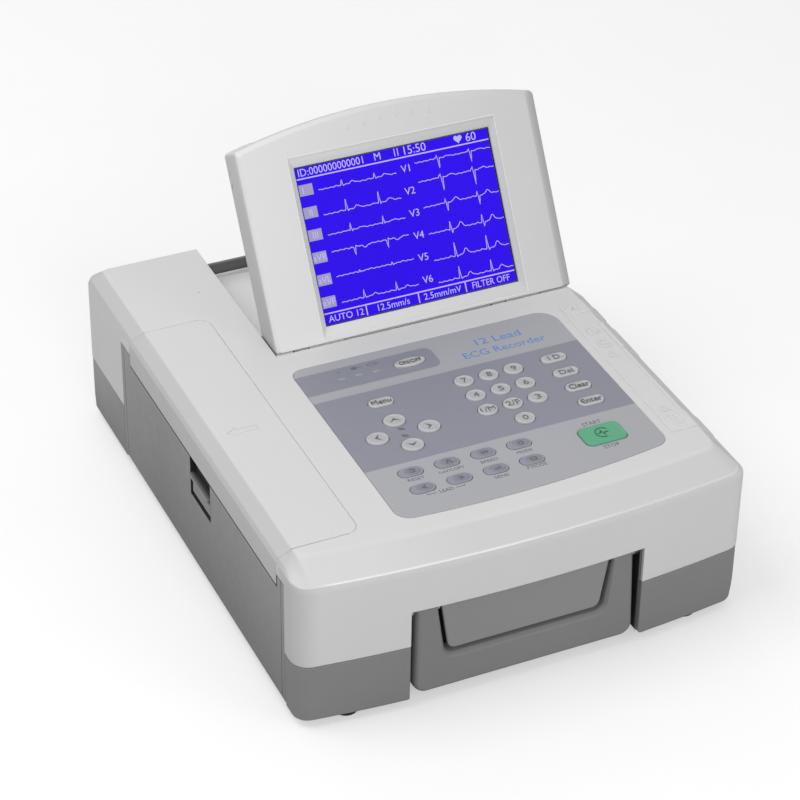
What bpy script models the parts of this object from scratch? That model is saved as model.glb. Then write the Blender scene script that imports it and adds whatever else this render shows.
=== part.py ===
"""Portable twelve-lead electrocardiograph with a tilting display, a paper door,
a fold-out carry handle and a 29-key panel.

+Z is up, -Y is the front (handle side), -X is the left (paper side). The origin
is on the table, under the centre of the cabinet. Every number below is in
millimetres; meshes are written in metres. A span is a (low, high) pair.
"""

import math

import bmesh
import bpy
from mathutils import Vector

METRES_PER_MM = 0.001
SMOOTH_ANGLE = math.radians(32)  # edges sharper than this stay crisp


def grown(span, amount):
    """A span drawn out at both ends, or drawn in by a negative amount."""
    return (span[0] - amount, span[1] + amount)


def middle(span):
    return (span[0] + span[1]) / 2


# --------------------------------------------------------- shared dimensions
GAP = 0.3  # clearance between separate pieces

# cabinet; its front face bows back to the sides: y = FRONT_Y + x * x / FRONT_BOW
HALF_WIDTH = 132.0
REAR_Y = 163.5
FRONT_Y = -165.3
FRONT_BOW = 1940.0
FOOT_HEIGHT = 5.0
PARTING_Z = 41.4  # between the grey base and the light top shell
TOP_Z = 99.3

# display: a slab hinged on its lower edge, folding back flat into the top
TILT = math.radians(59.5)  # angle between the screen and the table at rest
DISPLAY_FRONT_Y = 36.5  # where the screen face meets the cabinet top
DISPLAY_X = (-62.1, 125.0)
HINGE_DEPTH = 3.2  # hinge axis below the screen face
LOW_EDGE = HINGE_DEPTH * math.tan(TILT / 2)  # lower edge above the axis; folds flush
HINGE_Y = DISPLAY_FRONT_Y - LOW_EDGE * math.cos(TILT) + HINGE_DEPTH * math.sin(TILT)
HINGE_Z = TOP_Z - LOW_EDGE * math.sin(TILT) - HINGE_DEPTH * math.cos(TILT)
BARREL_RADIUS = 2.2
HINGE_PIN_RADIUS = 1.1
HINGE_HOLE_X = (-60, 120)
PANEL_KNUCKLES = ((-42.0, -20.0), (82.0, 104.0))
CASE_KNUCKLES = ((-51.0, -42.4), (-19.6, -11.0), (73.0, 81.6), (104.4, 113.0))

# paper bay between two bulkheads, under a door hinged along Y
BAY_Y = (-130.0, 88.2)
BULKHEAD_THICKNESS = 2.4
BAY_OUTER_Y = grown(BAY_Y, BULKHEAD_THICKNESS)
BAY_HOLE_Y = (-140, 100)  # reach of cutters that run the length of the bay
LID_Y = (-129.3, 87.5)
LID_RIGHT_X = -84.8
LID_SEAM = 1.2
LID_PIN_X, LID_PIN_Z = -94.8, 94.9
LID_PIN_RADIUS = 1.1
ROLL_X, ROLL_Z = -105.5, 42.0
PLATEN_X, PLATEN_Z = -118.0, 82.0

# opening in the shells' left wall
SIDE_Y = (-140.5, 103.7)
SIDE_TOP_Z = 86.2
SIDE_CUT_X = (-150, -128.95)

# carry handle and its recess in the front
RECESS_X = (-69.9, 66.3)
RECESS_TOP_Z = 64.5
RECESS_WALL = 3.4  # the pocket behind the recess mouth is larger by this
HANDLE_X = middle(RECESS_X)
PIVOT_Y, PIVOT_Z = -154.5, 57.4
PIVOT_RADIUS = 2.0
PIVOT_HOLE_X = (-90, 90)

# rear window, battery well, patient socket
WINDOW_X = (-62.4, 124.4)
BATTERY_WELL_X, BATTERY_WELL_Y = (30.0, 112.0), (-132.0, -62.0)
SOCKET_Y, SOCKET_Z = (-82.0, -42.0), (55.0, 69.0)
FIT = 0.4  # clearance round the sockets

# key panel; its front edge is bowed about x = -PANEL_BOW_SHIFT
PANEL_X = (-62.4, 100.2)
PANEL_REAR_Y = 18.2
PANEL_FRONT_Y = -133.0
PANEL_BOW = 1236.0
PANEL_BOW_SHIFT = 3.0
PANEL_TOP = 99.45

# finish: (linear RGB, roughness, metallic)
FINISHES = {
    "shell": ((0.66, 0.66, 0.65), 0.5, 0.0),
    "grey": ((0.20, 0.20, 0.20), 0.55, 0.0),
    "dark": ((0.055, 0.055, 0.06), 0.6, 0.0),
    "overlay": ((0.42, 0.43, 0.47), 0.45, 0.0),
    "key_light": ((0.60, 0.60, 0.61), 0.5, 0.0),
    "key_blue": ((0.30, 0.33, 0.42), 0.5, 0.0),
    "key_green": ((0.09, 0.45, 0.25), 0.45, 0.0),
    "circuit_board": ((0.03, 0.16, 0.07), 0.5, 0.0),
    "screen": ((0.05, 0.02, 0.80), 0.2, 0.0),
    "steel": ((0.55, 0.56, 0.57), 0.35, 1.0),
    "rubber": ((0.02, 0.02, 0.02), 0.8, 0.0),
    "white_plastic": ((0.78, 0.78, 0.74), 0.5, 0.0),
    "brass": ((0.75, 0.55, 0.22), 0.3, 1.0),
    "ceramic": ((0.35, 0.30, 0.26), 0.35, 0.0),
    "paper": ((0.85, 0.83, 0.80), 0.85, 0.0),
    "battery": ((0.04, 0.08, 0.22), 0.5, 0.0),
}


# ------------------------------------------------------------------ outlines
def rectangle(first_span, second_span):
    (left, right), (low, high) = first_span, second_span
    return [(left, low), (right, low), (right, high), (left, high)]


def circle(first, second, radius, count):
    return [
        (
            first + radius * math.cos(2 * math.pi * k / count),
            second + radius * math.sin(2 * math.pi * k / count),
        )
        for k in range(count)
    ]


def fillet(points, radii, steps):
    """A closed polygon with each corner rounded to its radius."""
    rounded = []
    count = len(points)
    for i, radius in enumerate(radii):
        corner = Vector(points[i])
        if radius <= 0:
            rounded.append((corner.x, corner.y))
            continue
        backward = (Vector(points[i - 1]) - corner).normalized()
        forward = (Vector(points[(i + 1) % count]) - corner).normalized()
        half_angle = backward.angle(forward) / 2
        reach = radius / math.tan(half_angle)
        centre = corner + (backward + forward).normalized() * (radius / math.sin(half_angle))
        start = corner + backward * reach - centre
        end = corner + forward * reach - centre
        sweep = start.angle_signed(end)
        for k in range(steps + 1):
            turn = -sweep * k / steps
            cosine, sine = math.cos(turn), math.sin(turn)
            rounded.append(
                (
                    centre.x + start.x * cosine - start.y * sine,
                    centre.y + start.x * sine + start.y * cosine,
                )
            )
    return rounded


def bowed_outline(x_ends, straight_y, bowed_y, stations, radii, steps):
    """Four rounded corners, with one side following bowed_y(x) through stations."""
    start_x, end_x = x_ends
    points = [(start_x, straight_y)]
    points += [(x, bowed_y(x)) for x in (start_x, *stations, end_x)]
    points.append((end_x, straight_y))
    return fillet(points, [*radii[:2], *[0] * len(stations), *radii[2:]], steps)


# -------------------------------------------------------------------- solids
def loft(rings):
    """A closed solid through rings that all hold the same number of points."""
    solid = bmesh.new()
    rows = [[solid.verts.new(point) for point in ring] for ring in rings]
    count = len(rows[0])
    for low, high in zip(rows, rows[1:]):
        for i in range(count):
            j = (i + 1) % count
            solid.faces.new((low[i], low[j], high[j], high[i]))
    solid.faces.new(list(reversed(rows[0])))
    solid.faces.new(rows[-1])
    return solid


def section(axis, points, along):
    """An outline placed across an axis; its points keep X, Y, Z order."""
    place = {
        "X": lambda first, second: (along, first, second),
        "Y": lambda first, second: (first, along, second),
        "Z": lambda first, second: (first, second, along),
    }[axis]
    return [place(*point) for point in points]


def prism(axis, points, low, high):
    return loft([section(axis, points, along) for along in (low, high)])


def box(x_span, y_span, z_span):
    return prism("Z", rectangle(x_span, y_span), *z_span)


def rod(axis, first, second, radius, low, high, count=20):
    return prism(axis, circle(first, second, radius, count), low, high)


def turned(axis, first, second, steps, count=24):
    """A turned piece: steps are (position along the axis, radius)."""
    return loft(
        [section(axis, circle(first, second, radius, count), along) for along, radius in steps]
    )


# ------------------------------------------------------------------- objects
def material(name, rgb, roughness, metallic):
    result = bpy.data.materials.new(name)
    result.use_nodes = True
    shader = result.node_tree.nodes["Principled BSDF"]
    shader.inputs["Base Color"].default_value = (*rgb, 1.0)
    shader.inputs["Roughness"].default_value = roughness
    shader.inputs["Metallic"].default_value = metallic
    result.diffuse_color = (*rgb, 1.0)
    return result


def mesh_of(name, solid, origin):
    bmesh.ops.recalc_face_normals(solid, faces=solid.faces)
    shift = Vector(origin)
    for vert in solid.verts:
        vert.co = (vert.co - shift) * METRES_PER_MM
    mesh = bpy.data.meshes.new(name)
    solid.to_mesh(mesh)
    solid.free()
    return mesh


def piece(name, solid, finish, origin=(0, 0, 0), parent=None):
    """One visible piece with its own material and its origin at the given point."""
    obj = bpy.data.objects.new(name, mesh_of(name, solid, origin))
    obj.data.materials.append(material(f"{name}_finish", *FINISHES[finish]))
    obj.data.shade_smooth()
    obj.data.set_sharp_from_angle(angle=SMOOTH_ANGLE)
    bpy.context.scene.collection.objects.link(obj)
    obj.location = Vector(origin) * METRES_PER_MM
    obj.parent = parent
    obj["origin_mm"] = list(origin)
    return obj


def combine(obj, solid, operation):
    """Joins to, or cuts from, a piece with a hidden helper in the same place."""
    number = len(obj.modifiers)
    helper = bpy.data.objects.new(
        f"tool_{obj.name}_{number}", mesh_of("tool", solid, obj["origin_mm"])
    )
    bpy.context.scene.collection.objects.link(helper)
    helper.location = obj.location
    helper.parent = obj.parent
    helper.hide_render = True
    helper.display_type = "WIRE"
    boolean = obj.modifiers.new(f"{operation.lower()}_{number}", "BOOLEAN")
    boolean.operation = operation
    boolean.solver = "EXACT"
    boolean.object = helper


def cut(obj, solid):
    combine(obj, solid, "DIFFERENCE")


def join(obj, solid):
    combine(obj, solid, "UNION")


# ------------------------------------------------------------ cabinet shells
# Shell rings run up or down one face of the wall, then back along the other:
# z, inset at left, right, front, rear, corner radius at front, rear
BASE_RINGS = (
    (FOOT_HEIGHT + 2.8, 3.4, 3.4, 3.4, 3.4, 10.5, 6.5),
    (PARTING_Z - GAP, 2.9, 2.9, 2.9, 2.9, 10.5, 6.5),
    (PARTING_Z - GAP, 0.2, 0.2, 0.2, 0.2, 13.5, 9.0),
    (FOOT_HEIGHT + 2.0, 1.0, 1.0, 1.0, 1.0, 13.0, 9.0),
    (FOOT_HEIGHT, 2.4, 2.4, 2.4, 2.4, 12.0, 8.0),
)
TOP_SHOULDER_RINGS = (
    (89.7, 0, 0, 0, 0, 13.5, 9.0),
    (93.1, 0.2, 3.7, 0.6, 0.1, 13.0, 9.0),
    (95.9, 1.6, 6.8, 9.8, 0.5, 11.0, 8.0),
    (TOP_Z, 9.3, 10.6, 21.1, 3.0, 8.0, 7.0),
)
TOP_RINGS = (
    (TOP_Z - 2.6, 10.8, 12.1, 22.6, 4.5, 6.0, 5.0),
    (92.2, 2.6, 6.8, 5.6, 2.7, 9.5, 6.5),
    (88.9, 2.6, 2.6, 2.6, 2.6, 10.9, 6.5),
    (PARTING_Z, 2.6, 2.6, 2.6, 2.6, 10.9, 6.5),
    (PARTING_Z, 0, 0, 0, 0, 13.5, 9.0),
    *TOP_SHOULDER_RINGS,
)
BULKHEAD_FACE = ((-128.8, 7.0), (-79.4, 7.0), (-79.4, 96.3), (-118.0, 96.3), (-128.8, 90.2))
BAY_WALL_X, BAY_WALL_Z = (-82.0, -79.4), (7.2, 78.0)
STUB_RADIUS = 6.2
STUB_ENDS = (-121.0, 79.0)  # inner ends of the front and rear stub axles
PAD_PLACES = ((-60, -130), (112, -40), (-60, 20), (112, 20))
PAD_RADIUS, PAD_Z = 3.2, (7.0, 13.7)
WELL_LEFT_X = DISPLAY_X[0] - 0.5  # the well the display folds into
WELL_FRONT_Y = 35.5
WELL_FLOOR_Z = 76.2
WELL_WALL = 2.6


def cabinet_ring(z, left, right, front, rear, front_radius, rear_radius):
    """The cabinet's plan at one height, drawn in from each side by its inset."""
    plan = bowed_outline(
        (-HALF_WIDTH + left, HALF_WIDTH - right),
        REAR_Y - rear,
        lambda x: FRONT_Y + front + x * x / FRONT_BOW,
        range(-100, 101, 20),
        (rear_radius, front_radius, front_radius, rear_radius),
        steps=5,
    )
    return section("Z", plan, z)


def cut_side_and_recess(shell, low, side_top, recess_top, pocket_top):
    """The left opening, the handle recess and the wider pocket behind it."""
    cut(shell, box(SIDE_CUT_X, SIDE_Y, (low, side_top)))
    cut(shell, box(RECESS_X, (-190, -158.0), (low, recess_top)))
    cut(shell, box(grown(RECESS_X, RECESS_WALL), (-159.3, -144.9), (low, pocket_top)))


def join_paper_bay(base):
    """Bulkheads with ears for the door's pin, the inner wall and the roll's stubs."""
    for low, high in ((BAY_OUTER_Y[0], BAY_Y[0]), (BAY_Y[1], BAY_OUTER_Y[1])):
        join(base, prism("Y", BULKHEAD_FACE, low, high))
    join(base, box(BAY_WALL_X, grown(BAY_OUTER_Y, -0.7), BAY_WALL_Z))
    # each stub starts inside its bulkhead
    join(base, rod("Y", ROLL_X, ROLL_Z, STUB_RADIUS, BAY_Y[0] - 1.0, STUB_ENDS[0]))
    join(base, rod("Y", ROLL_X, ROLL_Z, STUB_RADIUS, STUB_ENDS[1], BAY_Y[1] + 1.0))


def cut_bearings(base):
    """Platen bearings and the door pin's open cradles."""
    hole_radius = LID_PIN_RADIUS + GAP
    cut(base, rod("Y", PLATEN_X, PLATEN_Z, 2.9, *BAY_HOLE_Y, 16))
    cut(base, rod("Y", LID_PIN_X, LID_PIN_Z, hole_radius, *BAY_HOLE_Y, 12))
    cradle_x = (LID_PIN_X - hole_radius, LID_PIN_X + hole_radius)
    cut(base, box(cradle_x, BAY_HOLE_Y, (LID_PIN_Z, 100)))


def make_base():
    base = piece("base_shell", loft([cabinet_ring(*ring) for ring in BASE_RINGS]), "grey")
    join_paper_bay(base)
    for x, y in PAD_PLACES:
        join(base, rod("Z", x, y, PAD_RADIUS, *PAD_Z, 12))
    cut_side_and_recess(base, low=-2, side_top=60, recess_top=60, pocket_top=60)
    cut(base, box(WINDOW_X, (159.6, 180), (11.6, 60)))
    cut(base, box(BATTERY_WELL_X, BATTERY_WELL_Y, (-2, 12)))
    cut_bearings(base)


def add_display_well(top):
    """The well that takes the folded display: a block, then hollowed."""
    left, floor, rim = WELL_LEFT_X - WELL_WALL, WELL_FLOOR_Z - WELL_WALL, TOP_Z - 0.4
    block = [(left, floor), (131.4, floor), (131.4, 89.4), (121.2, rim), (left, rim)]
    # the block is drawn as (x, z), following the sloped right shoulder
    join(top, prism("Y", block, WELL_FRONT_Y - WELL_WALL, 160.6))
    cut(top, box((WELL_LEFT_X, 160), (WELL_FRONT_Y, 190), (WELL_FLOOR_Z, 130)))


def add_hinge_lugs(top):
    """Lugs on the well's front wall for the display's hinge pin."""
    web_y, web_z = (WELL_FRONT_Y - 1.0, HINGE_Y), (HINGE_Z - 1.9, HINGE_Z + 1.5)
    for span in CASE_KNUCKLES:
        join(top, rod("X", HINGE_Y, HINGE_Z, BARREL_RADIUS, *span, 16))
        join(top, box(grown(span, -0.2), web_y, web_z))
    cut(top, rod("X", HINGE_Y, HINGE_Z, HINGE_PIN_RADIUS + GAP, *HINGE_HOLE_X, 12))


def cut_bay_mouth(top):
    """Mouth of the paper bay, with rounded inner corners."""
    corners = rectangle((-160, LID_RIGHT_X + LID_SEAM), grown(LID_Y, LID_SEAM))
    cut(top, prism("Z", fillet(corners, [0, 10.2, 10.2, 0], 5), 60, 130))


def make_top():
    top = piece("top_shell", loft([cabinet_ring(*ring) for ring in TOP_RINGS]), "shell")
    add_display_well(top)
    add_hinge_lugs(top)
    cut_bay_mouth(top)
    cut_side_and_recess(top, 20, SIDE_TOP_Z, RECESS_TOP_Z, RECESS_TOP_Z + RECESS_WALL)
    cut(top, box(WINDOW_X, (160.5, 180), (20, 90)))
    # seat for the key panel, and the window behind its keys
    cut(top, prism("Z", panel_outline(GAP), PANEL_TOP - 1.3, 130))
    cut(top, prism("Z", panel_outline(-4.0), 80, 130))
    # patient cable opening in the right wall
    cut(top, box((120, 150), grown(SOCKET_Y, FIT), grown(SOCKET_Z, FIT)))


# -------------------------------------------------------------------- keypad
KEY_TOP, KEY_FOOT = 100.6, 92.6
KEY_BEVEL_HEIGHT, KEY_BEVEL_INSET = 0.5, 0.6
KEY_CLEARANCE = 0.35
KEY_ROW_Y = -28.4  # rear row of the digit and entry keys
KEY_ROW_PITCH = -15.1
CORNER_STEPS = 3


def panel_outline(grow):
    """The key panel's outline, drawn out by grow; its front edge is bowed."""
    return bowed_outline(
        grown(PANEL_X, grow),
        PANEL_REAR_Y + grow,
        lambda x: PANEL_FRONT_Y - grow + (x + PANEL_BOW_SHIFT) ** 2 / PANEL_BOW,
        range(-42, 79, 20),
        (max(7.0 + grow, 2.0), 9.0 + grow, 9.0 + grow, 12.0 + grow),
        steps=4,
    )


def rounded_key(half_width, half_height, radius):
    corners = [
        (-half_width, half_height),
        (-half_width, -half_height),
        (half_width, -half_height),
        (half_width, half_height),
    ]
    return fillet(corners, [radius] * 4, CORNER_STEPS)


def stadium(width, height, grow):
    half_height = height / 2 + grow
    # just under the full radius, so the two arcs at each end never meet
    return rounded_key(width / 2 + grow, half_height, half_height * 0.999)


def square(width, height, grow):
    return rounded_key(width / 2 + grow, height / 2 + grow, 4.0 + grow)


def oval(width, height, grow):
    return [
        ((width / 2 + grow) * x, (height / 2 + grow) * y) for x, y in circle(0, 0, 1, 16)
    ]


def key_grid(rows, x, y, x_pitch, y_pitch, *style):
    """Keys in rows from the rear to the front; None leaves a place empty."""
    return [
        (label, x + x_pitch * column, y + y_pitch * row, *style)
        for row, labels in enumerate(rows)
        for column, label in enumerate(labels)
        if label is not None
    ]


def key_table():
    """(label, x, y, outline function, width, height, finish) for each key."""
    arrow = (oval, 13.4, 8.8, "key_light")
    digits = (("7", "8", "9"), ("4", "5", "6"), ("1", "2", "3"), (None, "0"))
    entries = (("id",), ("delete",), ("clear",), ("enter",))
    functions = (
        ("reset", "copy", "speed", "mode"),
        ("lead_back", "lead_next", "gain", "print"),
    )
    return [
        ("power", 3.0, 0.0, stadium, 19.0, 7.0, "key_light"),
        ("menu", -28.0, -29.3, stadium, 15.2, 7.4, "key_light"),
        ("up", -28.1, -47.6, *arrow),
        ("right", -12.9, -60.0, *arrow),
        ("left", -43.4, -59.6, *arrow),
        ("down", -28.2, -72.0, *arrow),
        *key_grid(digits, 23.1, KEY_ROW_Y, 15.3, KEY_ROW_PITCH, oval, 12.4, 8.4, "key_light"),
        *key_grid(entries, 78.9, KEY_ROW_Y, 0, KEY_ROW_PITCH, stadium, 15.4, 7.4, "key_light"),
        *key_grid(functions, -39.9, -94.4, 21.4, -15.6, oval, 15.4, 8.4, "key_blue"),
        ("start_stop", 69.9, -104.0, square, 25.0, 16.4, "key_green"),
    ]


def make_key(label, x, y, shape, width, height, finish):
    rings = [
        [(x + across, y + along, z) for across, along in shape(width, height, grow)]
        for z, grow in (
            (KEY_FOOT, 0),
            (KEY_TOP - KEY_BEVEL_HEIGHT, 0),
            (KEY_TOP, -KEY_BEVEL_INSET),
        )
    ]
    piece(f"key_{label}", loft(rings), finish, origin=(x, y, KEY_TOP))


def make_keypad():
    overlay = piece(
        "keypad_overlay", prism("Z", panel_outline(0), PANEL_TOP - 1.0, PANEL_TOP), "overlay"
    )
    for key in key_table():
        x, y, shape, width, height = key[1:6]
        outline = shape(width, height, KEY_CLEARANCE)
        hole = [(x + across, y + along) for across, along in outline]
        cut(overlay, prism("Z", hole, 90, 110))
        make_key(*key)
    board = box((-57.0, 95.0), (-122.0, 12.0), (89.2, 90.8))
    piece("keypad_board", board, "circuit_board")


# ------------------------------------------------------------------- display
# In the display's own frame the hinge axis is X, +Y runs up the screen and +Z
# points out of it. Heights are from the lower edge, offsets from the screen face.
DISPLAY_THICKNESS = 22.5
ARC_X, ARC_HEIGHT, ARC_BOW = 32.0, 127.0, 770.0  # top edge: crown's place and bow
BEZEL_SEAM = -19.0  # offset of the bezel's back edge
SCREEN_X = (-29.0, 93.0)
SCREEN_Y = (LOW_EDGE + 8.9, LOW_EDGE + 100.4)
FRAME_X = (-33.0, 96.2)
FRAME_Y = (LOW_EDGE + 1.9, LOW_EDGE + 106.6)
FRAME_DEPTH = 3.0


def display_outline(grow, top=math.inf):
    """The display's outline; its top edge is an arc, cut off level at top."""

    def top_y(x):
        arc = LOW_EDGE + ARC_HEIGHT + grow - (x - ARC_X) ** 2 / ARC_BOW
        return min(arc, LOW_EDGE + top)

    left, right = grown(DISPLAY_X, grow)
    return bowed_outline(
        (right, left),
        LOW_EDGE - grow,
        top_y,
        range(110, -47, -13),
        (1.5, 4.0, 2.5, 1.5),
        steps=3,
    )


def slab(*rings):
    """A loft in the display's frame through (offset, outline) pairs."""
    return loft([section("Z", outline, offset + HINGE_DEPTH) for offset, outline in rings])


def cut_screen(bezel):
    """The sloped frame round the screen and the opening behind it."""
    inner = rectangle(SCREEN_X, SCREEN_Y)
    outer = rectangle(FRAME_X, FRAME_Y)
    # the slope carries on as far again in front of the face
    beyond = [
        (x + (outer_x - x) * 2.0, y + (outer_y - y) * 2.0)
        for (x, y), (outer_x, outer_y) in zip(inner, outer)
    ]
    cut(bezel, slab((-FRAME_DEPTH, inner), (0.0, outer), (FRAME_DEPTH, beyond)))
    cut(bezel, slab((-8.0, inner), (-2.4, inner)))


def add_bezel_hinge(bezel):
    """Room for the case's knuckles, then the bezel's own knuckles and pin hole."""
    for span in CASE_KNUCKLES:
        cut(bezel, rod("X", 0, 0, BARREL_RADIUS + 0.4, *grown(span, 0.4), 16))
    for span in PANEL_KNUCKLES:
        join(bezel, rod("X", 0, 0, BARREL_RADIUS, *span, 16))
        join(bezel, box(span, (0.0, LOW_EDGE + 1.4), (-1.6, 1.2)))
    cut(bezel, rod("X", 0, 0, HINGE_PIN_RADIUS + GAP, *HINGE_HOLE_X, 12))


def make_bezel(axis):
    body = slab(
        (BEZEL_SEAM, display_outline(0)),
        (-4.5, display_outline(0)),
        (-0.9, display_outline(-0.35)),
        (0, display_outline(-1.6)),
    )
    bezel = piece("display_bezel", body, "shell", parent=axis)
    cavity = display_outline(-2.6, 114.0)
    cut(bezel, slab((-60, cavity), (-4.4, cavity)))
    cut_screen(bezel)
    # ledge on the back of the arc that clears the rear panel when folded
    ledge_z = (-40 + HINGE_DEPTH, -13.4 + HINGE_DEPTH)
    cut(bezel, box((-80, 140), (LOW_EDGE + 119.0, 160), ledge_z))
    add_bezel_hinge(bezel)


def make_back_cover(axis):
    cover = slab(
        (-DISPLAY_THICKNESS, display_outline(-2.2, 117.2)),
        (-DISPLAY_THICKNESS + 1.6, display_outline(-0.4, 118.6)),
        (BEZEL_SEAM - GAP, display_outline(0, 119.0)),
    )
    piece("display_back_cover", cover, "shell", parent=axis)


def make_display():
    axis = bpy.data.objects.new("display_axis", None)
    bpy.context.scene.collection.objects.link(axis)
    axis.location = Vector((0, HINGE_Y, HINGE_Z)) * METRES_PER_MM
    axis.rotation_euler = (TILT, 0, 0)
    make_bezel(axis)
    make_back_cover(axis)
    glass = rectangle((-32.0, 96.0), (LOW_EDGE + 5.6, LOW_EDGE + 103.6))
    piece("lcd_panel", slab((-10.2, glass), (-4.7, glass)), "screen", parent=axis)
    pin = rod("X", HINGE_Y, HINGE_Z, HINGE_PIN_RADIUS, -50.5, 112.5, 12)
    piece("display_hinge_pin", pin, "steel")


# -------------------------------------------------------------- carry handle
ARM_CROWN_RADIUS = 5.8
LEAN, LEAN_DROP = 2.0, 51.0  # the handle leans forward this far over this drop
HANDLE_RINGS = ((-149.6, -1.2), (-150.8, 0), (-158.9, 0), (-160.1, -1.2))  # y, growth


def trapezoid(top_half, top_z, bottom_half, bottom_z, radii):
    """An (x, z) outline, symmetrical about the handle's middle."""
    corners = [
        (HANDLE_X - top_half, top_z),
        (HANDLE_X - bottom_half, bottom_z),
        (HANDLE_X + bottom_half, bottom_z),
        (HANDLE_X + top_half, top_z),
    ]
    return fillet(corners, radii, 4)


def handle_ring(y, grow):
    outline = trapezoid(
        64.0 + grow, PIVOT_Z + 6.6, 65.4 + grow, 6.1 - grow, [4.0, 7.5, 7.5, 4.0]
    )
    return [(x, y - LEAN * (PIVOT_Z - z) / LEAN_DROP, z) for x, z in outline]


def crown_cutter():
    """Rounds the arms' tops about the pivot, so that they clear the recess."""
    arc = [
        (
            PIVOT_Y - ARM_CROWN_RADIUS * math.cos(math.pi * k / 12),
            PIVOT_Z + ARM_CROWN_RADIUS * math.sin(math.pi * k / 12),
        )
        for k in range(13)
    ]
    rear, front, top = PIVOT_Y + 14, PIVOT_Y - 14, 75
    over = [(rear, PIVOT_Z), (rear, top), (front, top), (front, PIVOT_Z)]
    return prism("X", arc + over, *PIVOT_HOLE_X)


def pivot_hole():
    return rod("X", PIVOT_Y, PIVOT_Z, PIVOT_RADIUS + GAP, *PIVOT_HOLE_X, 16)


def make_carry_handle():
    handle = piece(
        "carry_handle",
        loft([handle_ring(*ring) for ring in HANDLE_RINGS]),
        "grey",
        origin=(HANDLE_X, PIVOT_Y, PIVOT_Z),
    )
    opening = trapezoid(54.5, 80, 46.6, 27.4, [0, 6.0, 6.0, 0])
    cut(handle, prism("Y", opening, -180, -140))
    cut(handle, pivot_hole())
    cut(handle, crown_cutter())


def make_recess_liner():
    """A tray round the handle, with a pad that fills the handle's opening."""
    tray = box(grown(RECESS_X, 3.0), (-159.0, -145.2), (5.2, RECESS_TOP_Z + 3.0))
    liner = piece("handle_recess_liner", tray, "grey")
    cut(liner, box(grown(RECESS_X, 0.3), (-170, -147.8), (-5, RECESS_TOP_Z + 0.4)))
    pad = trapezoid(50.1, RECESS_TOP_Z + 1.5, 44.6, 29.6, [0, 5.0, 5.0, 0])
    join(liner, prism("Y", pad, -159.3, -146.5))
    cut(liner, pivot_hole())


def make_pivot_rod():
    pivot = rod("X", PIVOT_Y, PIVOT_Z, PIVOT_RADIUS, *grown(RECESS_X, 2.4), 16)
    piece("handle_pivot_rod", pivot, "steel")


# ------------------------------------------------- paper door, side and catch
LID_SKIRT_Z = 79.1
LID_THICKNESS = 2.0
LID_CORNER = 9
# inner face of the door's left side: inset from the cabinet side, z
LID_INNER = (
    (2.2, LID_SKIRT_Z), (2.2, 91.4), (3.4, 94.4), (9.9, TOP_Z - LID_THICKNESS),
)
RIB_WIDTH = 3.0
RIB_STARTS = (LID_Y[0] + 0.6, -60.0, 18.0, LID_Y[1] - 3.6)
CATCH_Y = (-36.0, -6.0)
CATCH_TRAVEL = 4.0
CATCH_SLOT_Z = 52.4


def lid_profile():
    """The door's (x, z) section; its outside continues the top shell's shoulder."""
    shoulder = [(-HALF_WIDTH + ring[1], ring[0]) for ring in reversed(TOP_SHOULDER_RINGS)]
    return [
        (LID_RIGHT_X, TOP_Z),
        *shoulder,
        (-HALF_WIDTH, LID_SKIRT_Z),
        *[(-HALF_WIDTH + inset, z) for inset, z in LID_INNER],
        (LID_RIGHT_X, TOP_Z - LID_THICKNESS),
    ]


def lid_corner_cutter(y, inward):
    """Rounds the door's right-hand corner at y; inward is +1 or -1 along Y."""
    arc = []
    for k in range(6):
        angle = math.pi / 2 * k / 5
        arc.append(
            (
                LID_RIGHT_X - LID_CORNER + LID_CORNER * math.sin(angle),
                y + inward * (LID_CORNER - LID_CORNER * math.cos(angle)),
            )
        )
    block = [
        (LID_RIGHT_X - LID_CORNER, y - inward * 8),
        (LID_RIGHT_X + 8, y - inward * 8),
        (LID_RIGHT_X + 8, y + inward * LID_CORNER),
    ]
    return prism("Z", block + arc[::-1], 85, 110)


def make_lid():
    lid = piece(
        "paper_lid",
        prism("Y", lid_profile(), *LID_Y),
        "shell",
        origin=(LID_PIN_X, middle(LID_Y), LID_PIN_Z),
    )
    # ribs with the hinge eyes
    rib = [
        (LID_PIN_X - 4.5, TOP_Z - 1.0),
        (LID_PIN_X - 2.6, LID_PIN_Z - 2.0),
        (LID_PIN_X + 2.0, LID_PIN_Z - 2.0),
        (LID_PIN_X + 3.4, TOP_Z - 1.0),
    ]
    for y in RIB_STARTS:
        join(lid, prism("Y", rib, y, y + RIB_WIDTH))
    cut(lid, lid_corner_cutter(LID_Y[0], 1))
    cut(lid, lid_corner_cutter(LID_Y[1], -1))
    cut(lid, rod("Y", LID_PIN_X, LID_PIN_Z, LID_PIN_RADIUS + GAP, *BAY_HOLE_Y, 12))


def make_lid_pin():
    pin = rod("Y", LID_PIN_X, LID_PIN_Z, LID_PIN_RADIUS, *grown(BAY_OUTER_Y, -0.2), 12)
    piece("lid_hinge_pin", pin, "steel")


def make_side_panel():
    plate = box(
        (-HALF_WIDTH + 0.25, -129.25), grown(SIDE_Y, -GAP), (FOOT_HEIGHT + 0.6, SIDE_TOP_Z - GAP)
    )
    panel = piece("side_panel", plate, "grey")
    cut(panel, box((-150, -120), grown(LID_Y, LID_SEAM), (LID_SKIRT_Z - 0.9, 100)))
    cut(panel, box((-150, -120), CATCH_Y, (CATCH_SLOT_Z, 100)))


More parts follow.
